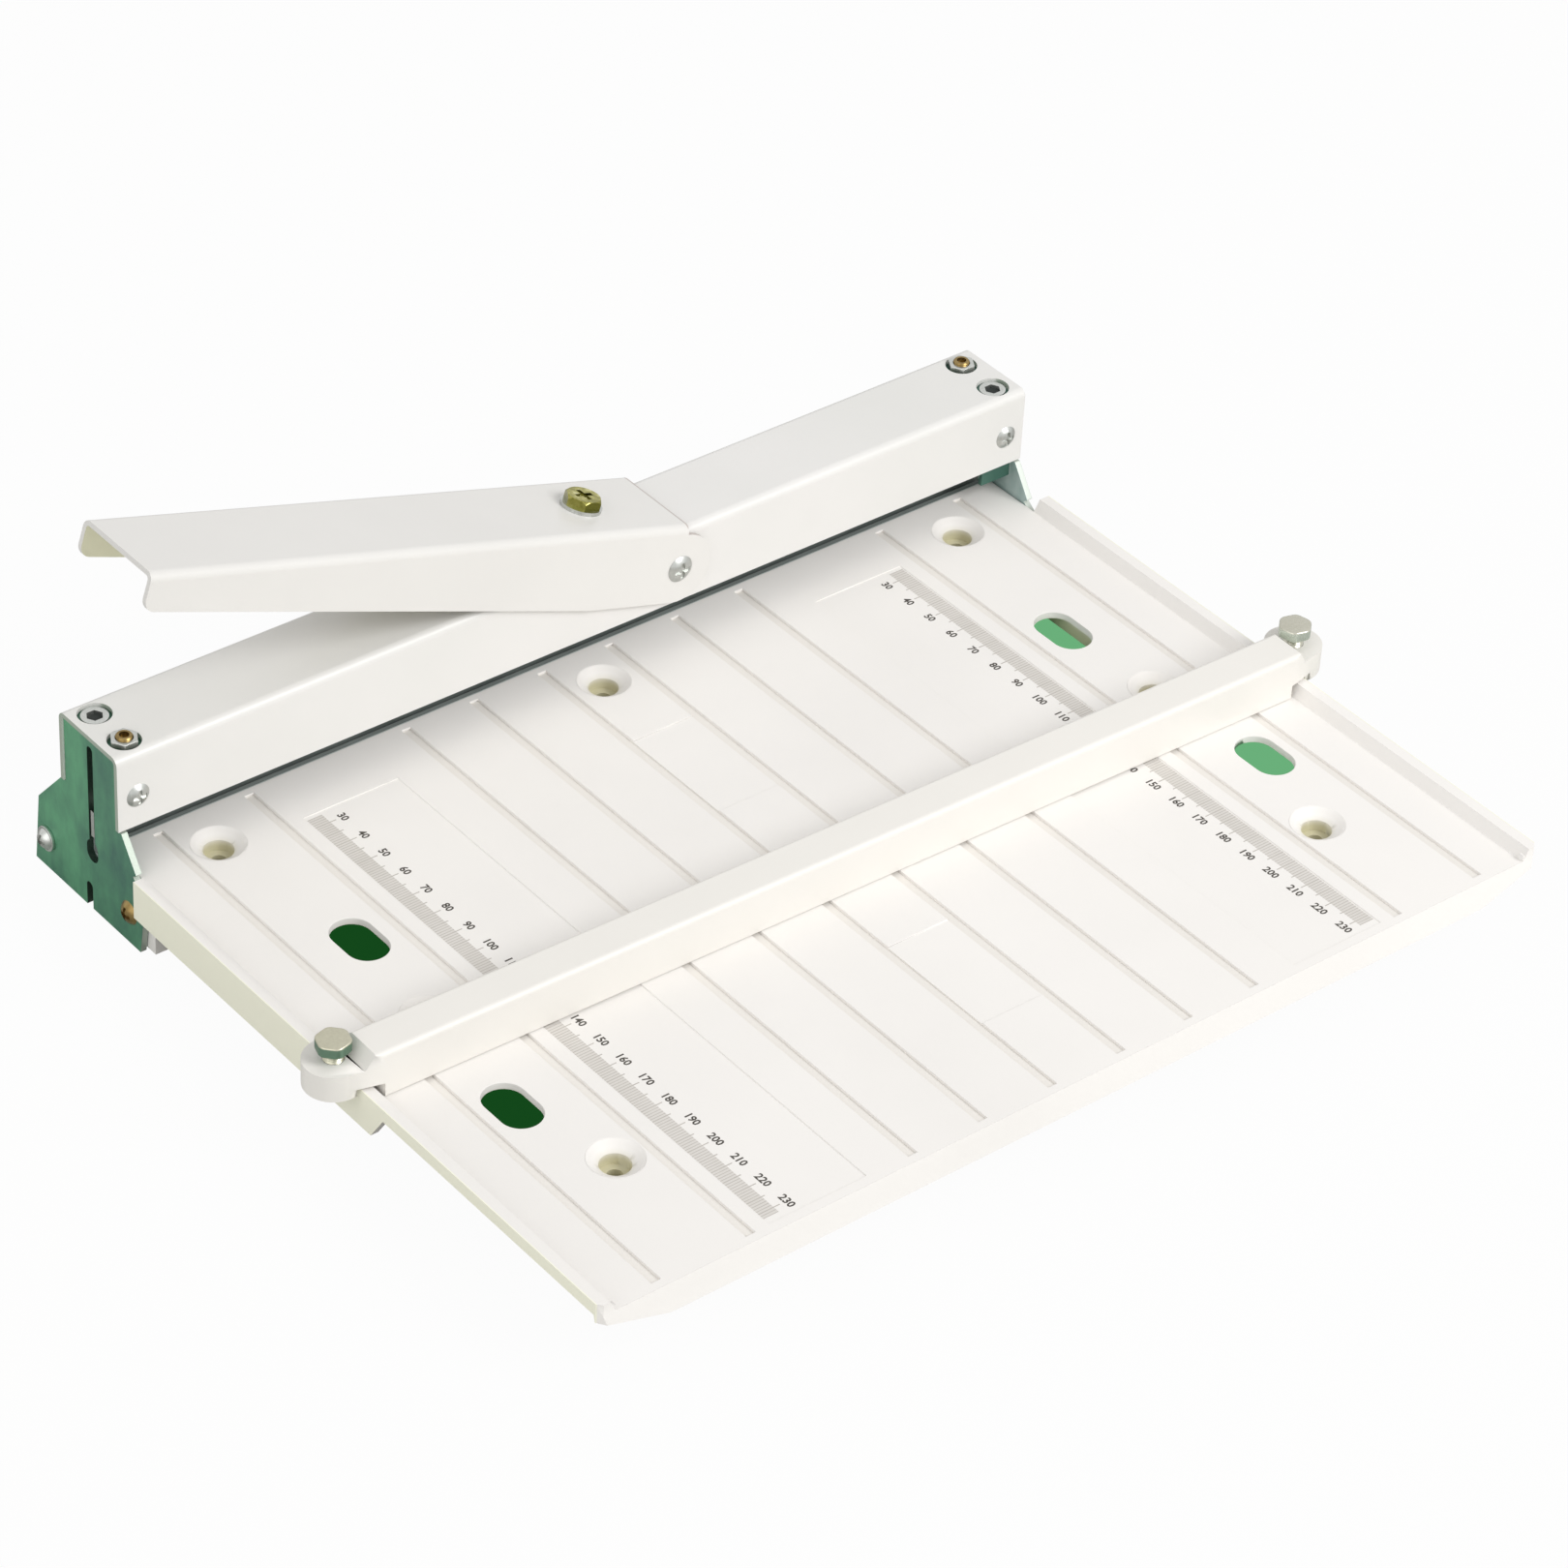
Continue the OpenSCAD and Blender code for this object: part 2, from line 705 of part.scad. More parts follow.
module plate_outline() {
    difference() {
        polygon([[-tab_face, lid_top], [tab_face, lid_top], [tab_face, rear_knee_z],
            [cover_d / 2 + knee_out, rear_knee_z], [foot_back - shoulder_in, bed_h - shoulder_drop],
            [foot_back, plate_low], [toe_in - foot_front, plate_low], [-foot_front, side_z],
            [-foot_front, bed_h - step_drop], [notch_in - foot_front, bed_h + nose_h - notch_h],
            [nose_in - foot_front, bed_h + nose_h], [-cover_d / 2 - knee_out, knee_z], [-tab_face, knee_z]]);
        translate([0, (slot_low + slot_top) / 2])
            obround(guide_slot_w, slot_top - slot_low);
        translate([0, slot_low + keyhole_h / 2])
            obround(keyhole_w, keyhole_h);
        translate([foot_slot_y, plate_low])
            obround(foot_slot_w, 2 * foot_slot_h);
        translate([tie_y, side_z])
            circle(d = side_d + 2 * fit);
        translate([-front_screw_y, side_z])
            circle(d = side_d + 2 * fit);
    }
}

// Flat sheet of the right plate
module plate_sheet() {
    translate([plate_out - plate_t / 2, crease_y, 0])
        along_x(plate_t)
            plate_outline();
}

// Folded lid and tabs of the right plate; its front tab is the long one
module plate_folds() {
    difference() {
        span([tab_x, crease_y - tab_face, lid_low], [plate_in + eps, crease_y + tab_face, lid_top]);
        for (s = [-1, 1])
            translate([post_x, crease_y + s * post_y, lid_low - eps])
                cylinder(d = (s < 0 ? post_d : depth_d) + 2 * fit, h = plate_t + 2 * eps);
    }
    for (s = [-1, 1])
        difference() {
            span([tab_x, crease_y + s * tab_mid - tab_t / 2, s < 0 ? bed_h + tab_low : rear_low + clear],
                [plate_in + eps, crease_y + s * tab_mid + tab_t / 2, bed_h + tab_high]);
            translate([cover_screw_x, crease_y + s * tab_face, cover_low + cover_screw_h])
                rotate([90, 0, 0])
                    cylinder(d = side_d + 2 * fit, h = 4 * tab_t, center = true);
        }
}

module right_side_plate() {
    color(zinc) {
        plate_sheet();
        plate_folds();
    }
}

// Same outline as the right plate, with the folds turned round so that the long tab is at the back
module left_side_plate() {
    color(zinc) {
        mirror([1, 0, 0])
            plate_sheet();
        translate([0, crease_y, 0])
            rotate([0, 0, 180])
                translate([0, -crease_y, 0])
                    plate_folds();
    }
}

module beam_cover() {
    color(white)
        difference() {
            translate([0, crease_y, cover_low])
                along_x(cover_l)
                    difference() {
                        rounded_top(cover_d, cover_h, cover_r);
                        translate([0, -eps])
                            rounded_top(cover_d - 2 * cover_t, cover_h - cover_t + eps, cover_r - cover_t);
                    }
            span([-cover_l, crease_y, cover_low - eps], [cover_l, crease_y + cover_d, rear_low]);
            translate([pivot_x - pusher_arm + window_off, crease_y, cover_top - 2 * cover_t])
                linear_extrude(3 * cover_t)
                    rotate([0, 0, 90])
                        obround(window_w, window_l);
            for (s = [-1, 1]) {
                translate([s * post_x, crease_y - s * post_y, cover_top - 2 * cover_t])
                    cylinder(d = post_head_d + head_gap, h = 3 * cover_t);
                translate([s * post_x, crease_y + s * post_y, cover_top - 2 * cover_t])
                    cylinder(d = depth_nut_af / cos(30) + nut_gap, h = 3 * cover_t);
                translate([s * cover_screw_x, crease_y, cover_low + cover_screw_h])
                    rotate([90, 0, 0])
                        cylinder(d = side_d + 2 * fit, h = through, center = true);
            }
            translate([pivot_x, crease_y, pivot_z])
                rotate([90, 0, 0])
                    cylinder(d = pivot_d + 2 * fit, h = through, center = true);
        }
}

module cover_screws() {
    color(steel)
        for (s = [-1, 1])
            for (f = [0, 180])
                translate([s * cover_screw_x, crease_y, cover_low + cover_screw_h])
                    rotate([0, 0, f])
                        translate([0, -cover_d / 2, 0])
                            rotate([90, 0, 0])
                                pan_screw(side_d, cover_screw_l, small_head_d, small_head_h);
}

module rear_tie_bar() {
    color(steel)
        translate([0, crease_y + tie_y, side_z])
            rotate([0, 90, 0])
                difference() {
                    cylinder(d = tie_d, h = 2 * plate_in, center = true);
                    for (s = [-1, 1])
                        translate([0, 0, s * plate_in])
                            cylinder(d = side_d + 2 * fit, h = 2 * side_l, center = true);
                }
}

module tie_bar_screws() {
    color(steel)
        for (s = [-1, 1])
            translate([s * (plate_out + side_washer_t), crease_y + tie_y, side_z])
                rotate([0, s * 90, 0])
                    pan_screw(side_d, side_l, side_head_d, side_head_h);
}

module tie_bar_washers() {
    color(steel)
        for (s = [-1, 1])
            translate([s * (plate_out + side_washer_t / 2), crease_y + tie_y, side_z])
                rotate([0, 90, 0])
                    difference() {
                        cylinder(d = side_washer_d, h = side_washer_t, center = true);
                        cylinder(d = side_d + 2 * fit, h = 2 * side_washer_t, center = true);
                    }
}

module table_side_screws() {
    color(brass)
        for (s = [-1, 1])
            translate([s * plate_out, crease_y - front_screw_y, side_z])
                rotate([0, s * 90, 0])
                    pan_screw(side_d, front_l, small_head_d, side_head_h);
}

// Room for the blade's end tabs in the ends of the die
module tab_slots() {
    for (s = [-1, 1])
        translate([s * (tab_slot_from + through / 2), crease_y, slot_low + through / 2])
            cube([through, tab_slot_w, through], center = true);
}

module die_rail() {
    color(steel)
        difference() {
            translate([0, crease_y, 0])
                along_x(die_l)
                    difference() {
                        translate([-die_w / 2, die_low])
                            square([die_w, die_h]);
                        translate([-matrix_w / 2 - seat, die_top - matrix_h])
                            square([matrix_w + 2 * seat, die_h]);
                    }
            tab_slots();
            for (x = [-die_screw_x, 0, die_screw_x])
                translate([x, crease_y, die_low - eps])
                    cylinder(d = side_d + 2 * fit, h = die_h - matrix_h - die_web);
        }
}

module crease_matrix() {
    color(black)
        difference() {
            translate([0, crease_y, 0])
                along_x(die_l)
                    difference() {
                        translate([-matrix_w / 2, die_top - matrix_h])
                            square([matrix_w, matrix_h]);
                        translate([-groove_w / 2, die_top - groove_d])
                            square([groove_w, 2 * groove_d]);
                    }
            tab_slots();
        }
}

module die_screws() {
    color(steel)
        for (x = [-die_screw_x, 0, die_screw_x])
            translate([x, crease_y, die_low - ledge_t])
                rotate([180, 0, 0])
                    pan_screw(side_d, ledge_t + die_h - matrix_h - 2 * die_web, side_head_d, side_head_h);
}

module guide_posts() {
    color(steel)
        for (s = [-1, 1])
            translate([s * post_x, crease_y - s * post_y, 0])
                difference() {
                    union() {
                        translate([0, 0, post_low])
                            cylinder(d = post_d, h = lid_top - post_low + eps);
                        translate([0, 0, lid_top])
                            cylinder(d = post_head_d, h = post_head_h);
                    }
                    translate([0, 0, lid_top + post_head_h - socket_h])
                        hex(post_socket, 2 * socket_h);
                }
}

module depth_screws() {
    depth_end = lid_top + depth_nut_h + depth_top;
    color(brass)
        for (s = [-1, 1])
            translate([s * post_x, crease_y + s * post_y, 0])
                difference() {
                    translate([0, 0, carriage_top + clear])
                        cylinder(d = depth_d, h = depth_end - carriage_top - clear);
                    translate([0, 0, depth_end - socket_h])
                        hex(depth_socket, 2 * socket_h);
                }
}

module depth_nuts() {
    color(steel)
        for (s = [-1, 1])
            translate([s * post_x, crease_y + s * post_y, lid_top])
                difference() {
                    hex(depth_nut_af, depth_nut_h);
                    translate([0, 0, -eps])
                        cylinder(d = depth_d + 2 * fit, h = depth_nut_h + 2 * eps);
                }
}

module pivot_screw() {
    color(steel)
        translate([pivot_x, crease_y - handle_w / 2 - seat, pivot_z])
            rotate([90, 0, 0])
                pan_screw(pivot_d, handle_w + pivot_tail, pivot_head_d, small_head_h);
}

module pivot_nut() {
    color(steel)
        translate([pivot_x, crease_y + handle_w / 2 + seat, pivot_z])
            rotate([-90, 0, 0])
                difference() {
                    hex(depth_nut_af, pivot_nut_h);
                    translate([0, 0, -eps])
                        cylinder(d = pivot_d + 2 * fit, h = pivot_nut_h + 2 * eps);
                }
}

module pivot_washers() {
    color(steel)
        for (s = [-1, 1])
            translate([pivot_x, crease_y + s * (cover_d + handle_gap - seat) / 2, pivot_z])
                rotate([90, 0, 0])
                    difference() {
                        cylinder(d = 2 * pivot_d, h = handle_gap - seat, center = true);
                        cylinder(d = pivot_d + 2 * fit, h = handle_t, center = true);
                    }
}

// Places handle pieces drawn with the pivot at the origin, the lever along -X
module on_handle() {
    translate([pivot_x, crease_y, pivot_z])
        rotate([0, rest_deg, 0])
            children();
}

// Side view of the handle as a solid bar across the beam
module cheek_block() {
    tip_v = tip_low - tip_r * tan(cheek_lean) + tip_r / cos(cheek_lean);
    along_y(2 * handle_w)
        polygon([[-handle_l, web_h], [web_end, web_h], [web_end, 0], [heel_r / 2, 0], [0, -heel_r],
            [-heel_l, -heel_r], [tip_r - handle_l - tip_r * sin(cheek_lean), tip_v - tip_r * cos(cheek_lean)],
            [-handle_l, tip_v]]);
    translate([tip_r - handle_l, 0, tip_v])
        rotate([90, 0, 0])
            cylinder(r = tip_r, h = 2 * handle_w, center = true);
    rotate([90, 0, 0])
        cylinder(r = heel_r, h = 2 * handle_w, center = true);
}

// Folded channel before its cheeks are cut to shape
module handle_channel() {
    deep = 2 * heel_r;
    translate([-handle_l / 2, 0, -deep])
        along_x(handle_l + 4 * heel_r)
            difference() {
                rounded_top(handle_w, web_h + deep, handle_r);
                translate([0, -eps])
                    rounded_top(handle_w - 2 * handle_t, web_low + deep + eps, handle_r - handle_t);
            }
}

module handle() {
    color(white)
        on_handle()
            difference() {
                intersection() {
                    handle_channel();
                    cheek_block();
                }
                rotate([90, 0, 0])
                    cylinder(d = pivot_d + 2 * fit, h = 2 * handle_w, center = true);
                translate([-pusher_arm, 0, 0])
                    cylinder(d = pusher_d + 2 * fit, h = 2 * web_h);
            }
}

module pusher_bolt() {
    color(brass)
        on_handle()
            translate([-pusher_arm, 0, 0]) {
                translate([0, 0, web_h + washer_t])
                    difference() {
                        hex_head(pusher_head_d, pusher_head_h);
                        translate([0, 0, pusher_head_h])
                            cross_recess(pusher_head_d, pusher_head_h / 4);
                    }
                translate([0, 0, ball_v])
                    cylinder(d = pusher_d, h = web_h + washer_t - ball_v + eps);
                translate([0, 0, ball_v])
                    sphere(d = pusher_d);
            }
}

module pusher_washer() {
    color(steel)
        on_handle()
            translate([-pusher_arm, 0, web_h])
                difference() {
                    cylinder(d = pusher_washer_d, h = washer_t);
                    translate([0, 0, -eps])
                        cylinder(d = pusher_d + 2 * fit, h = washer_t + 2 * eps);
                }
}

module pusher_nut() {
    color(steel)
        on_handle()
            translate([-pusher_arm, 0, web_low - jam_h])
                difference() {
                    hex(pusher_d + 4, jam_h);
                    translate([0, 0, -eps])
                        cylinder(d = pusher_d + 2 * fit, h = jam_h + 2 * eps);
                }
}

module carriage_bar() {
    color(aluminium)
        difference() {
            translate([0, crease_y, carriage_low])
                along_x(2 * carriage_x)
                    translate([-carriage_d / 2, 0])
                        square([carriage_d, carriage_h]);
            translate([0, crease_y, carriage_low])
                cube([blade_l + 2 * seat, blade_t + 2 * fit, 2 * blade_in + 2 * seat], center = true);
            for (s = [-1, 1]) {
                translate([s * (fork_from + through / 2), crease_y, carriage_low])
                    cube([through, fork_w, through], center = true);
                translate([s * post_x, crease_y - s * post_y, carriage_low - eps])
                    cylinder(d = post_d + 2 * fit, h = carriage_h + 2 * eps);
            }
            for (x = [-grub_x, -grub_x / 3, grub_x / 3, grub_x])
                translate([x, crease_y - carriage_d / 2 - eps, carriage_low + blade_in / 2])
                    rotate([-90, 0, 0])
                        cylinder(d = grub_d + 2 * fit, h = carriage_d / 2);
        }
}

module crease_blade() {
    color(steel)
        translate([0, crease_y, 0]) {
            along_x(blade_l) {
                translate([-blade_t / 2, blade_low + blade_t / 2])
                    square([blade_t, carriage_low + blade_in - blade_low - blade_t / 2]);
                translate([0, blade_low + blade_t / 2])
                    circle(d = blade_t);
            }
            for (s = [-1, 1])
                mirror([s < 0 ? 1 : 0, 0, 0])
                    along_y(blade_t)
                        polygon([[blade_l / 2 - blade_lap, blade_low + blade_t / 2],
                            [blade_l / 2 + blade_relief, blade_low + blade_t / 2],
                            [blade_l / 2 + blade_relief, blade_tab_low], [blade_x, blade_tab_low],
                            [blade_x, blade_tab_top], [blade_l / 2 - blade_lap, blade_tab_top]]);
        }
}

module blade_screws() {
    color(steel)
        for (x = [-grub_x, -grub_x / 3, grub_x / 3, grub_x])
            translate([x, crease_y - carriage_d / 2 + grub_in, carriage_low + blade_in / 2])
                rotate([-90, 0, 0])
                    difference() {
                        cylinder(d = grub_d, h = carriage_d / 2 - blade_t / 2 - grub_in);
                        translate([0, 0, -eps])
                            hex(grub_d / 2, grub_socket);
                    }
}

// Centre line of a hanging spring: straight ends on the spring's own axis line, curls between
function spring_path() =
    let (
        n = spring_turns * spring_rings,
        low = spring_low + spring_end,
        rise = spring_len - 2 * spring_end
    )
    concat(
        [[0, 0, spring_low + spring_seat], [0, 0, spring_low + wire_d]],
        [for (i = [0 : n])
            let (a = 360 * i / spring_rings,
                r = spring_r * min(1, 2 * i / spring_rings, 2 * (n - i) / spring_rings))
            [r * cos(a), r * sin(a), low + rise * i / n]],
        [[0, 0, spring_high - wire_d], [0, 0, spring_high - spring_seat]]);

function unit(v) = v / norm(v);

// Least gap between curls that are more than half a turn apart along the wire
function spring_gap(p) =
    min([for (i = [0 : len(p) - 1])
        for (j = [i + spring_rings / 2 : 1 : min(len(p) - 1, i + 2 * spring_rings)])
            norm(p[i] - p[j])]) - wire_d;

module return_spring() {
    path = spring_path();
    last = len(path) - 1;
    rings = [for (i = [0 : last])
        let (
            t = unit(path[min(i + 1, last)] - path[max(i - 1, 0)]),
            side = unit(cross(t, spring_aim)),
            up = cross(side, t)
        )
        for (k = [0 : spring_sides - 1])
            path[i] + wire_d / 2 * (cos(360 * k / spring_sides) * side + sin(360 * k / spring_sides) * up)];
    echo(least_spring_gap = spring_gap(path));
    polyhedron(rings, concat(
        [[for (k = [0 : spring_sides - 1]) k]],
        [for (i = [0 : last - 1])
            for (k = [0 : spring_sides - 1])
                let (a = i * spring_sides + k, b = i * spring_sides + (k + 1) % spring_sides)
                [a, a + spring_sides, b + spring_sides, b]],
        [[for (k = [spring_sides - 1 : -1 : 0]) last * spring_sides + k]]), convexity = 8);
}

module left_return_spring() {
    color(steel)
        translate([-spring_x, crease_y, 0])
            return_spring();
}

module right_return_spring() {
    color(steel)
        translate([spring_x, crease_y, 0])
            return_spring();
}

// Turns the stop bar and its bolts by the skew at which they are clamped
module on_stop() {
    translate([0, stop_y, 0])
        rotate([0, 0, -stop_skew])
            translate([0, -stop_y, 0])
                children();
}

// Bar with its ends sloped down to the lugs and cut clear of the side rails
module stop_beam() {
    ramp_end = ramp_x + ramp_l;
    lean = atan((bolt_y - lug_r - stop_front) / (bolt_x - stop_x));
    difference() {
        translate([0, stop_y, stop_low])
            along_x(2 * ramp_end)
                rounded_top(stop_d, stop_h, stop_r);
        both_sides() {
            span([stop_x, stop_front - clear, 0], [bolt_x, stop_back + clear, lug_z]);
            translate([0, stop_y, 0])
                along_y(2 * stop_d)
                    polygon([[ramp_x, stop_top + clear], [ramp_x, stop_top], [ramp_end, lug_top],
                        [bolt_x, lug_top], [bolt_x, stop_top + clear]]);
            translate([stop_x, stop_front, 0])
                rotate([0, 0, lean])
                    translate([0, -stop_d, 0])
                        cube([stop_d, stop_d, through]);
        }
    }
}

// Right lug, with a lip outside the side rail
module stop_lug() {
    difference() {
        union() {
            translate([bolt_x, bolt_y, lug_z - lug_drop])
                cylinder(r = lug_r, h = lug_drop + lug_t);
            translate([0, 0, lug_z])
                linear_extrude(lug_t)
                    polygon([[stop_x, stop_front], [bolt_x, bolt_y - lug_r], [bolt_x, bolt_y + lug_r],
                        [stop_x, stop_back]]);
        }
        span([stop_x - clear, bolt_y - 2 * lug_r, 0], [rail_x + 3 * clear, bolt_y + 2 * lug_r, lug_z]);
    }
}

module stop_bar() {
    color(ivory)
        on_stop()
            difference() {
                union() {
                    stop_beam();
                    both_sides()
                        stop_lug();
                }
                both_sides()
                    translate([bolt_x, bolt_y, 0])
                        cylinder(d = bolt_d + 2 * fit, h = 2 * through);
            }
}

module clamp_bolt() {
    translate([bolt_x, bolt_y, bolt_head_z])
        rotate([0, 0, bolt_turn])
            hex_head(bolt_af, bolt_head_h);
    translate([bolt_x, bolt_y, bolt_low])
        cylinder(d = bolt_d, h = bolt_head_z - bolt_low + eps);
}

module right_clamp_bolt() {
    color(steel)
        on_stop()
            clamp_bolt();
}

module left_clamp_bolt() {
    color(steel)
        on_stop()
            mirror([1, 0, 0])
                clamp_bolt();
}

table();
rubber_feet();
left_side_plate();
right_side_plate();
beam_cover();
cover_screws();
rear_tie_bar();
tie_bar_screws();
tie_bar_washers();
table_side_screws();
die_rail();
crease_matrix();
die_screws();
guide_posts();
depth_screws();
depth_nuts();
pivot_screw();
pivot_nut();
pivot_washers();
handle();
pusher_bolt();
pusher_washer();
pusher_nut();
carriage_bar();
crease_blade();
blade_screws();
left_return_spring();
right_return_spring();
stop_bar();
left_clamp_bolt();
right_clamp_bolt();
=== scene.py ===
import bpy
import bmesh
import math
from mathutils import Matrix, Vector


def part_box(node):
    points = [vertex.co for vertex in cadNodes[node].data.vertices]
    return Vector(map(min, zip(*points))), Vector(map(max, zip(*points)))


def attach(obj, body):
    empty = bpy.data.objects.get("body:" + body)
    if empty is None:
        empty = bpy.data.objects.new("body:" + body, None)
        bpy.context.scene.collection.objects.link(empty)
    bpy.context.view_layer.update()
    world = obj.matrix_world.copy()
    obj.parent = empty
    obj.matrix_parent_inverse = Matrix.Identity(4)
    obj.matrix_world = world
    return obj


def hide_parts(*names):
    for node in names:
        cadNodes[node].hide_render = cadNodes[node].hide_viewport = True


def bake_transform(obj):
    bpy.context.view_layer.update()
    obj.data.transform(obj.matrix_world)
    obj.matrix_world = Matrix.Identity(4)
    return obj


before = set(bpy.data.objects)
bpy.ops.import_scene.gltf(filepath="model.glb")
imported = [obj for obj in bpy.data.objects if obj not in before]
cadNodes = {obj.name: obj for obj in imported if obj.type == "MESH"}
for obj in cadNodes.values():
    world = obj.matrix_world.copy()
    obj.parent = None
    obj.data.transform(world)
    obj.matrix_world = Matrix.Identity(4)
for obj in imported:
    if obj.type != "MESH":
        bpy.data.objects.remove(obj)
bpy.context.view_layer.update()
mm = 0.001
weldGap = 0.002  # points closer than this many millimetres become one
white = (1.0, 1.0, 1.0, 1.0)


def nodeBox(node):
    # low corner, high corner and middle of a CAD node in millimetres, to the micron
    low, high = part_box(node)
    return [tuple(round(v / mm, 3) for v in point) for point in (low, high, (low + high) / 2)]


# the blade's middle is the crease line, from which the scales count
creaseY = nodeBox("crease_blade")[2][1]
print("frame loaded with", len(cadNodes), "nodes")


def colour(hexText):
    # sRGB hex to the linear values that the shader wants
    channels = [int(hexText[i:i + 2], 16) / 255 for i in (1, 3, 5)]
    return tuple(c / 12.92 if c <= 0.04045 else ((c + 0.055) / 1.055) ** 2.4 for c in channels) + (1.0,)


def wire(tree, a, b):
    tree.links.new(a, b)


def addNode(tree, kind, inputs=None, **settings):
    node = tree.nodes.new(kind)
    for name, value in settings.items():
        setattr(node, name, value)
    for name, value in (inputs or {}).items():
        node.inputs[name].default_value = value
    return node


def mathNode(tree, operation, *values):
    # numbers are typed in, anything else is wired in
    node = addNode(tree, "ShaderNodeMath", operation=operation)
    for place, value in enumerate(values):
        if isinstance(value, float):
            node.inputs[place].default_value = value
        else:
            wire(tree, value, node.inputs[place])
    return node.outputs["Value"]


# surface groups that several materials share

def newGroup(name, ins, outs):
    group = bpy.data.node_groups.new(name, "ShaderNodeTree")
    for label, kind in ins.items():
        group.interface.new_socket(label, in_out="INPUT", socket_type="NodeSocket" + kind)
    for label in outs:
        group.interface.new_socket(label, in_out="OUTPUT", socket_type="NodeSocketFloat")
    return group, group.nodes.new("NodeGroupInput"), group.nodes.new("NodeGroupOutput")


def addNoise(group, vector, scale, detail, rough):
    noise = addNode(group, "ShaderNodeTexNoise", {"Detail": detail, "Roughness": rough})
    wire(group, vector, noise.inputs["Vector"])
    wire(group, scale, noise.inputs["Scale"])
    return noise.outputs["Fac"]


def buildMouldGrain():
    # fine skin of a moulded or powder-coated surface, plus a slow mottle
    group, gin, gout = newGroup("mouldGrain", dict(Vector="Vector", Fine="Float", Broad="Float"),
                                ("Height", "Mottle"))
    fine = addNoise(group, gin.outputs["Vector"], gin.outputs["Fine"], detail=3.0, rough=0.6)
    broad = addNoise(group, gin.outputs["Vector"], gin.outputs["Broad"], detail=4.0, rough=0.55)
    wire(group, fine, gout.inputs["Height"])
    wire(group, broad, gout.inputs["Mottle"])
    return group


def buildRolledStreak():
    # long rolling lines of sheet and bar metal, stretched by the Stretch vector, plus slow clouds
    group, gin, gout = newGroup("rolledStreak",
                                dict(Vector="Vector", Stretch="Vector", Scale="Float", Clouds="Float"),
                                ("Streak", "Cloud"))
    stretched = addNode(group, "ShaderNodeVectorMath", operation="MULTIPLY")
    wire(group, gin.outputs["Vector"], stretched.inputs[0])
    wire(group, gin.outputs["Stretch"], stretched.inputs[1])
    streak = addNoise(group, stretched.outputs["Vector"], gin.outputs["Scale"], detail=5.0, rough=0.65)
    cloud = addNoise(group, gin.outputs["Vector"], gin.outputs["Clouds"], detail=5.0, rough=0.6)
    wire(group, streak, gout.inputs["Streak"])
    wire(group, cloud, gout.inputs["Cloud"])
    return group


mouldGrain = buildMouldGrain()
rolledStreak = buildRolledStreak()

# the part of a noise's range that carries the change in tone and in roughness
noiseSpan = dict(middle=0.5, mottle=(0.32, 0.68), rough=(0.3, 0.7))


def startMaterial(name):
    material = bpy.data.materials.new(name)
    material.use_nodes = True
    tree = material.node_tree
    shader = tree.nodes["Principled BSDF"]
    coords = addNode(tree, "ShaderNodeTexCoord")
    return material, tree, shader, coords.outputs["Object"]


def ramp(tree, source, stops):
    node = addNode(tree, "ShaderNodeValToRGB")
    wire(tree, source, node.inputs["Fac"])
    elements = node.color_ramp.elements
    elements[0].position, elements[0].color = stops[0]
    elements[1].position, elements[1].color = stops[-1]
    for place, tone in stops[1:-1]:
        elements.new(place).color = tone
    return node.outputs["Color"]


def spread(tree, source, low, high):
    start, end = noiseSpan["rough"]
    node = addNode(tree, "ShaderNodeMapRange",
                   {"From Min": start, "From Max": end, "To Min": low, "To Max": high})
    wire(tree, source, node.inputs["Value"])
    return node.outputs["Result"]


def bump(tree, shader, height, strength, distance):
    node = addNode(tree, "ShaderNodeBump", {"Strength": strength, "Distance": distance})
    wire(tree, height, node.inputs["Height"])
    wire(tree, node.outputs["Normal"], shader.inputs["Normal"])


def both(tree, first, second):
    return mathNode(tree, "MULTIPLY", first, second)


def absolute(tree, source):
    return mathNode(tree, "ABSOLUTE", source)


def blendTone(tree, share, first, second):
    # share 0 gives the first colour, 1 the second; the node's colours are inputs 6 and 7 and output 2
    node = addNode(tree, "ShaderNodeMix", data_type="RGBA")
    wire(tree, share, node.inputs[0])
    for place, tone in ((6, first), (7, second)):
        if isinstance(tone, str):
            node.inputs[place].default_value = colour(tone)
        else:
            wire(tree, tone, node.inputs[place])
    return node.outputs[2]


def window(tree, source, start, end):
    # 0 at the start and 1 at the end, which may be the lower of the two
    node = addNode(tree, "ShaderNodeMapRange", {"From Min": start, "From Max": end},
                   interpolation_type="SMOOTHSTEP")
    wire(tree, source, node.inputs["Value"])
    return node.outputs["Result"]


def axisOf(tree, source, axis):
    node = addNode(tree, "ShaderNodeSeparateXYZ")
    wire(tree, addNode(tree, "ShaderNodeTexCoord").outputs[source], node.inputs["Vector"])
    return node.outputs[axis]


def placeOn(tree, axis):
    # place along one of the piece's axes, in metres
    return axisOf(tree, "Object", axis)


def facing(tree, axis):
    # how far a face turns to one of the piece's axes, from -1 to 1
    return axisOf(tree, "Normal", axis)


# where each shade starts and where it ends, by how far a face turns
faceTurns = dict(edge=(0.6, 0.3), wall=(0.1, 0.45), cut=(0.7, 0.9), level=(0.5, 0.8), nearward=(-0.4, -0.7),
                 lineFloor=(0.8, 0.95))


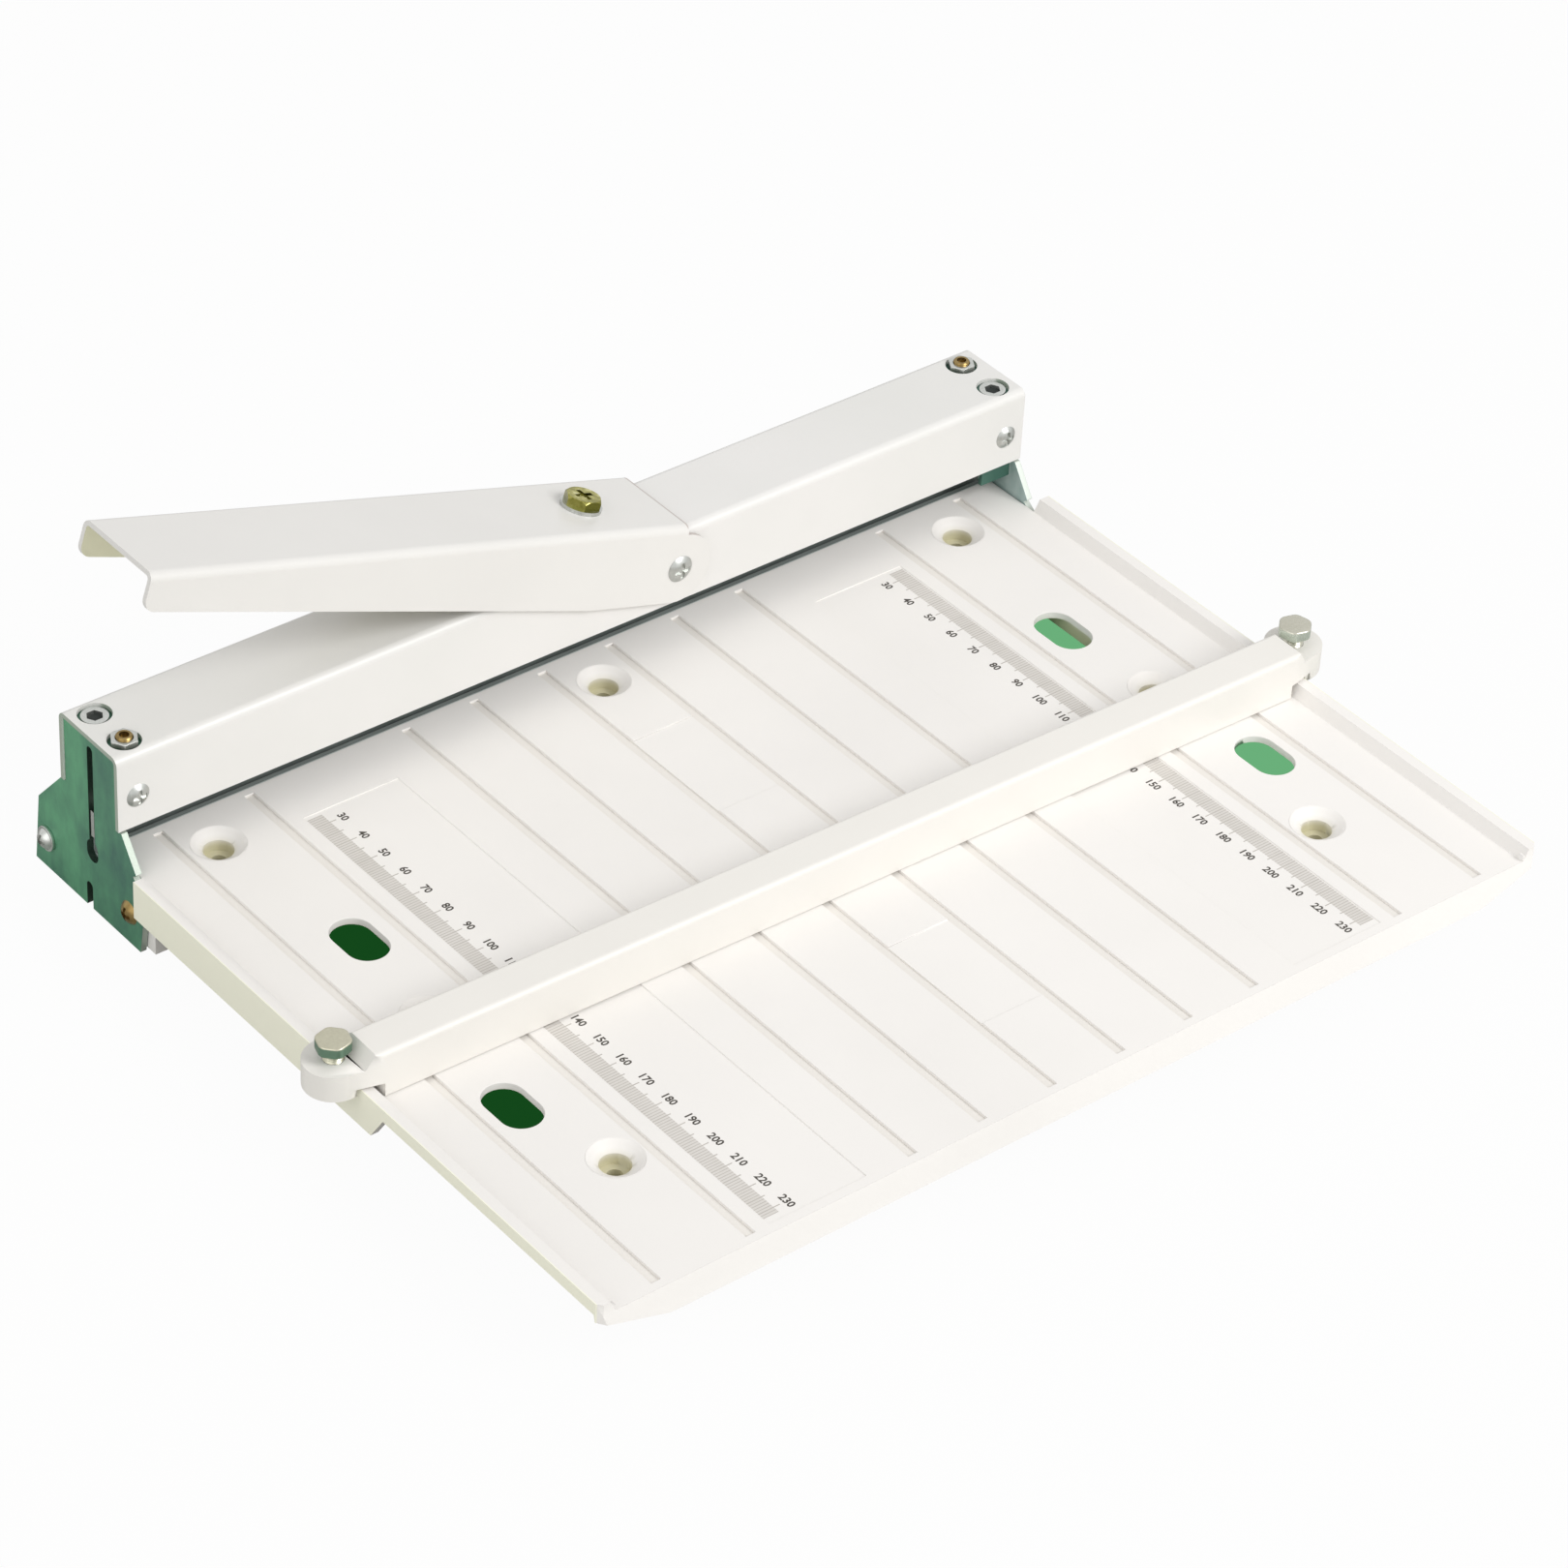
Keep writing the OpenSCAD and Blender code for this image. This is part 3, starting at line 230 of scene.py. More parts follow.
def sheetTone(tree, tone, sheet):
    # cut edges of the plate's flat sheet show bare steel, with painted shade on those inside its slot, and
    # painted shade on its folds
    flat = window(tree, absolute(tree, placeOn(tree, "X")), *sheet["flat"])
    tone = blendTone(tree, flat, sheet["fold"], tone)
    fromSlot = absolute(tree, mathNode(tree, "SUBTRACT", placeOn(tree, "Y"), sheet["slotY"]))
    edge = blendTone(tree, window(tree, fromSlot, *sheet["slotHalf"]), sheet["slot"], sheet["edge"])
    edgeOn = window(tree, absolute(tree, facing(tree, "X")), *faceTurns["edge"])
    return blendTone(tree, both(tree, flat, edgeOn), tone, edge)


def wallTone(tree, tone, wall):
    # painted reflection: upright faces take the wall colour, level ones keep their own
    return blendTone(tree, window(tree, facing(tree, "Z"), *faceTurns["wall"]), wall, tone)


def cutTone(tree, tone, cut):
    # sheet ends that face along X show their cut metal, darkened with painted shade
    endOn = window(tree, absolute(tree, facing(tree, "X")), *faceTurns["cut"])
    return blendTone(tree, endOn, tone, cut)


def lineTone(tree, tone, line):
    # thin shaded line along the end of the handle's web
    level = window(tree, facing(tree, "Z"), *faceTurns["level"])
    near = both(tree, window(tree, placeOn(tree, "X"), *line["span"]), level)
    return blendTone(tree, near, tone, line["tone"])


def innerTone(tree, tone, inner):
    # painted green reflection on the inside of the handle's far cheek
    nearward = window(tree, facing(tree, "Y"), *faceTurns["nearward"])
    far = both(tree, window(tree, placeOn(tree, "Y"), *inner["behind"]), nearward)
    return blendTone(tree, far, tone, inner["tone"])


def lowTone(tree, tone, low):
    # painted shade with a warm bounced glow deep in the holes, and painted light on the outer faces of the
    # side rails
    reach = absolute(tree, placeOn(tree, "X"))
    behind = window(tree, placeOn(tree, "Y"), *low["behind"])
    inside = both(tree, behind, window(tree, reach, *low["within"]))
    deep = both(tree, inside, window(tree, placeOn(tree, "Z"), *low["under"]))
    tone = blendTone(tree, deep, tone, low["tone"])
    return blendTone(tree, window(tree, reach, *low["beyond"]), tone, low["side"])


def lineFloorTone(tree, tone, floor):
    # slight shade on the level floors of the bed's sunken lines
    height = placeOn(tree, "Z")
    band = both(tree, window(tree, height, *floor["over"]), window(tree, height, *floor["under"]))
    level = window(tree, facing(tree, "Z"), *faceTurns["lineFloor"])
    return blendTone(tree, both(tree, band, level), tone, floor["tone"])


shades = {"low": lowTone, "lineFloor": lineFloorTone, "cut": cutTone, "line": lineTone, "inner": innerTone,
          "wall": wallTone, "sheet": sheetTone}


def addShades(tree, tone, look):
    for name, addShade in shades.items():
        if name in look:
            tone = addShade(tree, tone, look[name])
    return tone


def skinMaterial(name, look):
    # moulded plastic, rubber, powder coat and print
    material, tree, shader, coords = startMaterial(name)
    grain = addNode(tree, "ShaderNodeGroup", {"Fine": look["fine"], "Broad": look["broad"]},
                    node_tree=mouldGrain)
    wire(tree, coords, grain.inputs["Vector"])
    start, end = noiseSpan["mottle"]
    tone = ramp(tree, grain.outputs["Mottle"], [(start, colour(look["dark"])), (end, colour(look["light"]))])
    wire(tree, addShades(tree, tone, look), shader.inputs["Base Color"])
    wire(tree, spread(tree, grain.outputs["Mottle"], *look["rough"]), shader.inputs["Roughness"])
    shader.inputs["Specular IOR Level"].default_value = look["specular"]
    bump(tree, shader, grain.outputs["Height"], look["bump"], look["depth"])
    return material


def metalMaterial(name, look):
    # rolled, plated or turned metal, with streaks and clouds in equal parts
    material, tree, shader, coords = startMaterial(name)
    streak = addNode(tree, "ShaderNodeGroup",
                     {"Stretch": look["stretch"], "Scale": look["scale"], "Clouds": look["clouds"]},
                     node_tree=rolledStreak)
    wire(tree, coords, streak.inputs["Vector"])
    halfCloud = mathNode(tree, "MULTIPLY", streak.outputs["Cloud"], 0.5)
    mixed = mathNode(tree, "MULTIPLY_ADD", streak.outputs["Streak"], 0.5, halfCloud)
    middle = noiseSpan["middle"]
    tone = ramp(tree, mixed, [(middle - look["half"], colour(look["dark"])), (middle, colour(look["mid"])),
                              (middle + look["half"], colour(look["light"]))])
    wire(tree, addShades(tree, tone, look), shader.inputs["Base Color"])
    shader.inputs["Metallic"].default_value = look["metal"]
    wire(tree, spread(tree, mixed, *look["rough"]), shader.inputs["Roughness"])
    bump(tree, shader, streak.outputs["Streak"], look["bump"], look["depth"])
    return material


# places inside a finish are in metres, as the shader reads them
mouldSkin = dict(fine=1500.0, bump=0.05, depth=0.0001)
paintSkin = dict(fine=620.0, broad=12.0, rough=(0.28, 0.36), specular=0.45, bump=0.05, depth=0.0002)
printSkin = dict(fine=2500.0, specular=0.3, bump=0.02, depth=0.00005)
finishes = {
    "ivoryPlastic": dict(mouldSkin, dark="#eeebe7", light="#f4f1ed", broad=9.0, rough=(0.42, 0.52),
                         specular=0.35,
                         # low: painted shade and bounced glow deep in the holes, and painted light (side) on
                         # the side rails' outer faces
                         low=dict(tone="#d2cdb0", side="#f6f5e2", behind=(-0.128, -0.12),
                                  within=(0.158, 0.155), under=(0.0238, 0.0205), beyond=(0.1655, 0.1659)),
                         lineFloor=dict(tone="#ebe7e1", over=(0.0239, 0.024), under=(0.0245, 0.0244))),
    # the stop bar's copy of the ivory plastic is painted slightly darker, as shade for its lamp-facing front
    "ivoryBar": dict(mouldSkin, dark="#ebe8e2", light="#f0ede7", broad=11.0, rough=(0.38, 0.48),
                     specular=0.4),
    # cut: the cover's cut ends, bare metal darkened with painted shade
    "coverPaint": dict(paintSkin, dark="#e6e5e1", light="#eceae7", cut="#a3ad9f"),
    "handlePaint": dict(paintSkin, dark="#e4e2de", light="#e9e7e3",
                        line=dict(span=(0.0326, 0.033), tone="#c4bcb6"),
                        # inner: painted green reflection inside the far cheek
                        inner=dict(behind=(0.105, 0.11), tone="#eae9cb")),
    # the black matrix is painted mid grey: painted light for the strip in the cover's shade
    "blackMatrix": dict(dark="#737b78", light="#838b88", fine=2200.0, broad=40.0, rough=(0.45, 0.58),
                        specular=0.4, bump=0.12, depth=0.0001),
    # painted shade for the bottoms of the guide posts' sockets
    "socketShadePaint": dict(dark="#1d2220", light="#272c2a", fine=2200.0, broad=40.0, rough=(0.5, 0.6),
                       specular=0.3, bump=0.1, depth=0.0001),
    "footRubber": dict(dark="#262625", light="#2f2f2e", fine=1800.0, broad=40.0, rough=(0.7, 0.82),
                       specular=0.3, bump=0.2, depth=0.0002),
    "scaleInk": dict(printSkin, dark="#47433e", light="#55514b", broad=300.0, rough=(0.55, 0.65)),
    "scaleBand": dict(printSkin, dark="#d6d2cc", light="#dcd8d3", broad=90.0, rough=(0.5, 0.6)),
    "scaleTick": dict(printSkin, dark="#b9b4ad", light="#c4bfb8", broad=300.0, rough=(0.55, 0.65)),
}
rolled = dict(clouds=70.0, half=0.16, bump=0.03, depth=0.00005)
plateZinc = dict(rolled, stretch=(1.0, 1.0, 0.3), scale=60.0, clouds=30.0, half=0.11, rough=(0.3, 0.44))
# slot: painted shade on the cut edges inside the plates' slots
plateSheet = dict(flat=(0.1604, 0.1608), slot="#33473c", slotY=creaseY * mm, slotHalf=(0.006, 0.0065))
boltZinc = dict(rolled, stretch=(1.0, 1.0, 0.3), scale=1200.0, metal=0.85)
screwZinc = dict(rolled, stretch=(1.0, 1.0, 0.4), scale=500.0)
metals = {
    # the two side plates are one zinc, whose green tone is partly painted reflection; the right copy is
    # painted paler and bluer, and each fold tone is painted shade on the plate's folded flange
    "greenZincReflected": dict(plateZinc, dark="#3d6d62", mid="#528d70", light="#66ac82", metal=0.4,
                      sheet=dict(plateSheet, fold="#44705c", edge="#a9b3a8")),
    "paleZincReflected": dict(plateZinc, dark="#95ada9", mid="#aec3c0", light="#d0dddb", metal=0.5,
                     sheet=dict(plateSheet, fold="#4a7265", edge="#c9d0c8")),
    # the clamp bolts are one zinc; each wall tone is painted reflection on the head's sides, dark green on
    # the left bolt and pale on the right
    "leftBoltZinc": dict(boltZinc, dark="#b9b6a2", mid="#c2bfab", light="#cbc9b7", rough=(0.28, 0.4),
                         wall="#6f8c78"),
    "rightBoltZinc": dict(boltZinc, dark="#b7b5a6", mid="#c0beb0", light="#cac8bc", rough=(0.2, 0.32),
                          wall="#c4ccc0"),
    "platedSteel": dict(rolled, dark="#b4b7b3", mid="#c4c6c2", light="#d4d5d2", stretch=(1.0, 1.0, 0.15),
                        scale=1500.0, metal=1.0, rough=(0.26, 0.38), bump=0.04),
    "dieSteel": dict(rolled, dark="#b4c0bd", mid="#c3cdca", light="#d2dad8", stretch=(0.04, 1.0, 1.0),
                     scale=1300.0, metal=0.35, rough=(0.34, 0.46), bump=0.06),
    "bladeSteel": dict(rolled, dark="#b4b8b4", mid="#c8cbc8", light="#dcdedc", stretch=(0.05, 1.0, 1.0),
                       scale=1800.0, metal=1.0, rough=(0.18, 0.28)),
    # the pusher bolt's wall tone is painted reflection darkening the head's sides, and its pale light tone
    # gives painted highlights
    "yellowZinc": dict(screwZinc, dark="#858240", mid="#aaa55e", light="#dedaa8", half=0.09, metal=1.0,
                       rough=(0.15, 0.26), wall="#6b6a2c"),
    "bronzeZinc": dict(screwZinc, dark="#6f5c38", mid="#8d774a", light="#ab9563", metal=0.9,
                       rough=(0.26, 0.38)),
    "barAluminium": dict(rolled, dark="#b3b6b8", mid="#c3c5c7", light="#d2d4d5", stretch=(0.05, 1.0, 1.0),
                         scale=1200.0, metal=1.0, rough=(0.3, 0.42), bump=0.05),
}
paint = {name: skinMaterial(name, look) for name, look in finishes.items()}
paint.update({name: metalMaterial(name, look) for name, look in metals.items()})
print("materials:", ", ".join(paint))

nodeFinish = {
    "table": "ivoryPlastic", "stop_bar": "ivoryBar", "rubber_feet": "footRubber",
    "left_side_plate": "greenZincReflected", "right_side_plate": "paleZincReflected",
    "beam_cover": "coverPaint", "handle": "handlePaint",
    "cover_screws": "platedSteel", "rear_tie_bar": "platedSteel", "tie_bar_screws": "platedSteel",
    "tie_bar_washers": "platedSteel", "table_side_screws": "bronzeZinc", "die_rail": "dieSteel",
    "crease_matrix": "blackMatrix", "die_screws": "platedSteel", "guide_posts": "platedSteel",
    "depth_screws": "bronzeZinc", "depth_nuts": "platedSteel", "pivot_screw": "platedSteel",
    "pivot_nut": "platedSteel", "pivot_washers": "platedSteel", "pusher_bolt": "yellowZinc",
    "pusher_washer": "platedSteel", "pusher_nut": "platedSteel", "carriage_bar": "barAluminium",
    "crease_blade": "bladeSteel", "blade_screws": "platedSteel", "left_return_spring": "bladeSteel",
    "right_return_spring": "bladeSteel", "left_clamp_bolt": "leftBoltZinc",
    "right_clamp_bolt": "rightBoltZinc",
}
for name, finish in nodeFinish.items():
    for materialSlot in cadNodes[name].material_slots:
        materialSlot.material = paint[finish]
print("finishes put on", len(nodeFinish), "nodes")


def finishPiece(bm, name, body, material, smoothDegrees=35.0):
    mesh = bpy.data.meshes.new(name)
    bm.to_mesh(mesh)
    bm.free()
    mesh.materials.append(paint[material])
    for face in mesh.polygons:
        face.use_smooth = True
    mesh.set_sharp_from_angle(angle=math.radians(smoothDegrees))
    piece = bpy.data.objects.new(name, mesh)
    bpy.context.scene.collection.objects.link(piece)
    if body:
        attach(piece, body)
    return piece


def weld(bm):
    bmesh.ops.remove_doubles(bm, verts=bm.verts, dist=weldGap * mm)


def bevelEdges(bm, edges, width, segments, clamp=True):
    bmesh.ops.bevel(bm, geom=edges, offset=width * mm, offset_type="OFFSET", affect="EDGES",
                    segments=segments, profile=0.5, material=-1, clamp_overlap=clamp)


def extrudeBy(bm, faces, rise, keep=True):
    # grows faces straight up, or down by a negative rise, and gives back the points that moved
    made = bmesh.ops.extrude_face_region(bm, geom=faces, use_keep_orig=keep)["geom"]
    moved = [g for g in made if isinstance(g, bmesh.types.BMVert)]
    bmesh.ops.translate(bm, vec=(0.0, 0.0, rise * mm), verts=moved)
    return moved


def thicken(bm, rise):
    # flat faces become closed slabs with their upper sides at the given rise
    extrudeBy(bm, bm.faces[:], rise)
    bmesh.ops.recalc_face_normals(bm, faces=bm.faces)


# folded and moulded pieces with the soft edges that bending and moulding leave
softening = dict(flat=0.6, sharp=32.0, segments=2, smooth=40.0, weight=90)
softEdges = {
    "table": dict(name="softTable", width=0.22, body="frame", slot="ivory_plastic",
                  rim=dict(height=25.0, gap=0.01, width=0.3, shortest=0.5, angle=60.0)),
    "stop_bar": dict(name="softStopBar", width=0.8, body="stop", slot="ivory_plastic"),
    "beam_cover": dict(name="softCover", width=0.25, body="frame", slot="white_paint"),
    "handle": dict(name="softHandle", width=0.3, body="handle", slot="white_paint"),
    "left_side_plate": dict(name="softLeftPlate", width=0.22, body="frame", slot="green_zinc"),
    "right_side_plate": dict(name="softRightPlate", width=0.22, body="frame", slot="green_zinc"),
    "depth_nuts": dict(name="softDepthNuts", width=0.15, body="frame", slot="steel"),
    "pusher_bolt": dict(name="softPusherBolt", width=0.15, body="handle", slot="yellow_zinc"),
    "tie_bar_washers": dict(name="softWashers", width=0.15, body="frame", slot="steel"),
    "die_rail": dict(name="softDieRail", width=0.15, body="frame", slot="steel"),
    "crease_matrix": dict(name="softMatrix", width=0.12, body="frame", slot="black_matrix"),
}


def sharpEdges(bm, degrees):
    limit = math.radians(degrees)
    return [e for e in bm.edges if len(e.link_faces) == 2 and e.calc_face_angle(0.0) > limit]


def softenRims(bm, rim):
    # upper edges of the sunken lines, pads and long holes, which lie at one height
    level = rim["height"] * mm
    rims = [e for e in sharpEdges(bm, rim["angle"]) if e.calc_length() > rim["shortest"] * mm
            and all(abs(v.co.z - level) < rim["gap"] * mm for v in e.verts)]
    bevelEdges(bm, rims, rim["width"], softening["segments"], clamp=False)


def softenNode(node, edge, p):
    bm = bmesh.new()
    bm.from_mesh(cadNodes[node].data)
    weld(bm)
    bmesh.ops.dissolve_limit(bm, angle_limit=math.radians(p["flat"]), verts=bm.verts, edges=bm.edges)
    if "rim" in edge:
        softenRims(bm, edge["rim"])
    bevelEdges(bm, sharpEdges(bm, p["sharp"]), edge["width"], p["segments"])
    weld(bm)
    piece = finishPiece(bm, edge["name"], edge["body"], nodeFinish[node], p["smooth"])
    weighted = piece.modifiers.new("faceWeights", "WEIGHTED_NORMAL")
    weighted.weight = p["weight"]
    weighted.keep_sharp = True
    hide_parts(node)


for node, edge in softEdges.items():
    softenNode(node, edge, softening)
print("softened edges on", len(softEdges), "nodes")

# printed millimetre scales on the two pads: fine, five and ten are lengths of ticks that start at outer,
# and glyph is the font's size for digits of height 1
scalePrint = dict(surface=24.6, ink=0.03, first=26, last=232, outer=108.2, fine=5.0, five=6.0, ten=7.0,
                  fineLine=0.24, boldLine=0.34, firstNumber=30, numberGap=2.3, numberSize=2.5, glyph=1.38,
                  bold=0.09, curveSteps=2)


def inkBar(bm, x0, x1, y0, y1, z, thick):
    made = bmesh.ops.create_cube(bm, size=1.0)
    place = Matrix.Translation(((x0 + x1) / 2 * mm, (y0 + y1) / 2 * mm, (z + thick / 2) * mm))
    size = Matrix.Diagonal((abs(x1 - x0) * mm, abs(y1 - y0) * mm, thick * mm, 1.0))
    bmesh.ops.transform(bm, matrix=place @ size, verts=made["verts"])


def printTicks(side, label, p):
    bm = bmesh.new()
    for distance in range(p["first"], p["last"] + 1):
        y = creaseY - distance
        length = p["ten"] if distance % 10 == 0 else p["five"] if distance % 5 == 0 else p["fine"]
        line = p["boldLine"] if distance % 5 == 0 else p["fineLine"]
        inkBar(bm, side * p["outer"], side * (p["outer"] - length), y - line / 2, y + line / 2,
               p["surface"], p["ink"])
    finishPiece(bm, "scaleTicks" + label, "frame", "scaleTick")


def printBand(side, label, p):
    # pale band under the ticks, half sunk so that they stand above it
    bm = bmesh.new()
    inkBar(bm, side * p["outer"], side * (p["outer"] - p["fine"]), creaseY - p["first"], creaseY - p["last"],
           p["surface"] - p["ink"] / 2, p["ink"])
    finishPiece(bm, "scaleBand" + label, "frame", "scaleBand")


def numberMesh(text, p):
    curve = bpy.data.curves.new("number" + text, "FONT")
    curve.body = text
    curve.size = p["numberSize"] * mm * p["glyph"]
    curve.align_x = "CENTER"
    curve.align_y = "CENTER"
    curve.resolution_u = p["curveSteps"]
    curve.offset = p["bold"] * mm
    holder = bpy.data.objects.new("number" + text, curve)
    bpy.context.scene.collection.objects.link(holder)
    mesh = bpy.data.meshes.new_from_object(holder)
    bpy.data.objects.remove(holder)
    bpy.data.curves.remove(curve)
    return mesh


def printNumbers(side, label, p):
    # both scales read from the machine's left
    bm = bmesh.new()
    turn = Matrix.Rotation(math.radians(-90), 4, "Z")
    x = side * (p["outer"] - p["ten"] - p["numberGap"])
    for value in range(p["firstNumber"], p["last"] + 1, 10):
        mesh = numberMesh(str(value), p)
        start = len(bm.verts)
        bm.from_mesh(mesh)
        bpy.data.meshes.remove(mesh)
        bm.verts.ensure_lookup_table()
        place = Matrix.Translation((x * mm, (creaseY - value) * mm, p["surface"] * mm))
        bmesh.ops.transform(bm, matrix=place @ turn, verts=bm.verts[start:])
    weld(bm)
    thicken(bm, p["ink"])
    finishPiece(bm, "scaleNumbers" + label, "frame", "scaleInk")


for side, label in ((-1, "Left"), (1, "Right")):
    printTicks(side, label, scalePrint)
    printBand(side, label, scalePrint)
    printNumbers(side, label, scalePrint)
print("scales printed")

# four round holes in the cover's top: depth screws in one diagonal pair, guide posts in the other
coverHoles = dict(x=156.0, aside=7.4)


def holePair(p, hand):
    # hand 1 gives the screws' pair, -1 the posts'
    return [(side * p["x"], creaseY + hand * side * p["aside"]) for side in (-1, 1)]


postSockets = dict(node="guide_posts", radius=2.35, deep=1.0, thick=0.3, facets=24)


def buildSocketFloors(p):
    # painted shade: dark discs at the bottoms of the guide posts' sockets
    bm = bmesh.new()
    postTop = nodeBox(p["node"])[1][2]
    under = postTop - p["deep"] - p["thick"]
    for x, y in holePair(coverHoles, -1):
        bmesh.ops.create_circle(bm, cap_ends=True, radius=p["radius"] * mm, segments=p["facets"],
                                matrix=Matrix.Translation((x * mm, y * mm, under * mm)))
    thicken(bm, p["thick"])
    finishPiece(bm, "socketShadeDiscs", "frame", "socketShadePaint")


def spinThread(bm, x, y, low, high, p):
    # zigzag outline turned round the bolt's own axis
    count = max(1, round((high - low) / p["pitch"]))
    rise = (high - low) / count
    outline = [(p["core"], low)]
    for turn in range(count):
        outline += [(p["thread"], low + rise * (turn + 0.5)), (p["core"], low + rise * (turn + 1))]
    verts = [bm.verts.new(((x + r) * mm, y * mm, z * mm)) for r, z in outline]
    edges = [bm.edges.new(pair) for pair in zip(verts, verts[1:])]
    bmesh.ops.spin(bm, geom=verts + edges, cent=(x * mm, y * mm, 0.0), axis=(0.0, 0.0, 1.0),
                   dvec=(0.0, 0.0, 0.0), angle=math.tau, steps=p["facets"], use_merge=True,
                   use_duplicate=False)


# threaded bolts in the stop bar's lugs, each with its head turned by its own angle
clampBolts = {
    "left_clamp_bolt": dict(name="leftThreadedBolt", turn=13.9, body="left_bolt"),
    "right_clamp_bolt": dict(name="rightThreadedBolt", turn=43.9, body="right_bolt"),
}
boltShape = dict(flats=9.4, sides=6, headHigh=3.2, thread=3.0, core=2.55, pitch=1.0, facets=28, corner=1.3,
                 cornerSteps=4, chamfer=0.55, chamferSteps=3, topGap=0.01, smooth=30.0)


def buildClampBolt(node, bolt, p):
    bm = bmesh.new()
    low, high, middle = nodeBox(node)
    x, y = middle[:2]
    headTop = high[2]
    headLow = headTop - p["headHigh"]
    spinThread(bm, x, y, low[2], headLow, p)
    bmesh.ops.holes_fill(bm, edges=[e for e in bm.edges if e.is_boundary], sides=0)
    start = len(bm.verts)
    halfSide = math.pi / p["sides"]
    turn = Matrix.Rotation(halfSide + math.radians(bolt["turn"]), 4, "Z")
    bmesh.ops.create_circle(bm, cap_ends=True, radius=p["flats"] / 2 / math.cos(halfSide) * mm,
                            segments=p["sides"],
                            matrix=Matrix.Translation((x * mm, y * mm, headLow * mm)) @ turn)
    bm.verts.ensure_lookup_table()
    topVerts = extrudeBy(bm, list(bm.verts[start].link_faces), p["headHigh"])
    upright = p["headHigh"] / 2 * mm
    corners = [e for v in topVerts for e in v.link_edges if abs(e.verts[0].co.z - e.verts[1].co.z) > upright]
    bevelEdges(bm, corners, p["corner"], p["cornerSteps"])
    nearTop = (headTop - p["topGap"]) * mm
    rim = [e for e in bm.edges if min(v.co.z for v in e.verts) > nearTop]
    bevelEdges(bm, rim, p["chamfer"], p["chamferSteps"])
    bmesh.ops.recalc_face_normals(bm, faces=bm.faces)
    piece = finishPiece(bm, bolt["name"], bolt["body"], nodeFinish[node], p["smooth"])
    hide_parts(node)


depthScrews = dict(node="depth_screws", thread=2.5, core=2.15, pitch=0.8, facets=28, socket=1.44,
                   socketDeep=1.6, smooth=30.0)


def buildDepthScrews(p):
    bm = bmesh.new()
    low, high, middle = (point[2] for point in nodeBox(p["node"]))
    for x, y in holePair(coverHoles, 1):
        before = set(bm.edges)
        spinThread(bm, x, y, low, high, p)
        rims = [e for e in bm.edges if e not in before and e.is_boundary]
        upper = [e for e in rims if e.verts[0].co.z > middle * mm]
        lower = [e for e in rims if e not in upper]
        bmesh.ops.holes_fill(bm, edges=lower, sides=0)
        cap = bmesh.ops.holes_fill(bm, edges=upper, sides=0)["faces"]
        bmesh.ops.inset_region(bm, faces=cap, thickness=(p["core"] - p["socket"]) * mm, depth=0.0)
        extrudeBy(bm, cap, -p["socketDeep"], keep=False)
        bmesh.ops.delete(bm, geom=cap, context="FACES_ONLY")
    bmesh.ops.recalc_face_normals(bm, faces=bm.faces)
    finish = nodeFinish[p["node"]]
    piece = finishPiece(bm, "threadedDepthScrews", "frame", finish, p["smooth"])
    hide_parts(p["node"])


buildSocketFloors(postSockets)
for node, bolt in clampBolts.items():
    buildClampBolt(node, bolt, boltShape)
buildDepthScrews(depthScrews)
print("threads cut")

# return springs as smooth wire, stretched between the plate's lid and the blade's tab
springShape = dict(x=157.9, radius=2.0, wire=0.4, wireSides=10, turns=11, stepsPerTurn=20, lead=1.6,
                   sway=0.25, endGap=0.02, smooth=60.0)


def growTube(bm, loop, moves):
    # carries an open end of the tube along a few straight moves
    for move in moves:
        made = bmesh.ops.extrude_edge_only(bm, edges=loop)["geom"]
        loop = [g for g in made if isinstance(g, bmesh.types.BMEdge) and len(g.link_faces) == 1]
        verts = list(dict.fromkeys(v for e in loop for v in e.verts))
        bmesh.ops.translate(bm, vec=Vector(move) * mm, verts=verts)
    return loop


def buildSpring(side, name, node, p):
    # the wire stops endGap short of the tab below and of the lid above
    bm = bmesh.new()
    x = side * p["x"]
    wireLow, wireHigh = nodeBox(node)[:2]
    low = wireLow[2] - p["endGap"]
    high = wireHigh[2] + p["endGap"]
    coilLow = low + p["lead"]
    coilHigh = high - p["lead"]
    place = Matrix.Translation(((x + p["radius"]) * mm, creaseY * mm, coilLow * mm))
    ring = bmesh.ops.create_circle(bm, cap_ends=False, radius=p["wire"] * mm, segments=p["wireSides"],
                                   matrix=place @ Matrix.Rotation(math.radians(90), 4, "X"))["verts"]
    steps = p["turns"] * p["stepsPerTurn"]
    firstLoop = list(dict.fromkeys(e for v in ring for e in v.link_edges))
    made = bmesh.ops.spin(bm, geom=ring + firstLoop, cent=(x * mm, creaseY * mm, 0.0), axis=(0.0, 0.0, 1.0),
                          dvec=(0.0, 0.0, (coilHigh - coilLow) / steps * mm), angle=math.tau * p["turns"],
                          steps=steps, use_merge=False, use_duplicate=False)
    lastLoop = [g for g in made["geom_last"] if isinstance(g, bmesh.types.BMEdge)]
    # each end turns in to the spring's axis over a third of the lead, then runs straight
    inward = -p["radius"] / 2
    third = p["lead"] / 3
    for loop, up in ((firstLoop, -1.0), (lastLoop, 1.0)):
        end = growTube(bm, loop, [(inward, -up * p["sway"], up * third / 2),
                                  (inward, up * p["sway"], up * third / 2),
                                  (0.0, 0.0, up * (third * 2 - p["endGap"]))])
        bmesh.ops.holes_fill(bm, edges=end, sides=0)
    bmesh.ops.recalc_face_normals(bm, faces=bm.faces)
    piece = finishPiece(bm, name, None, nodeFinish[node], p["smooth"])
    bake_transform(piece)
    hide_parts(node)


buildSpring(-1, "leftWireSpring", "left_return_spring", springShape)
buildSpring(1, "rightWireSpring", "right_return_spring", springShape)
print("springs wound")

# light, floor and camera, placed in metres
worldLight = dict(tone="#ffffff", strength=0.58, seen=1.0)


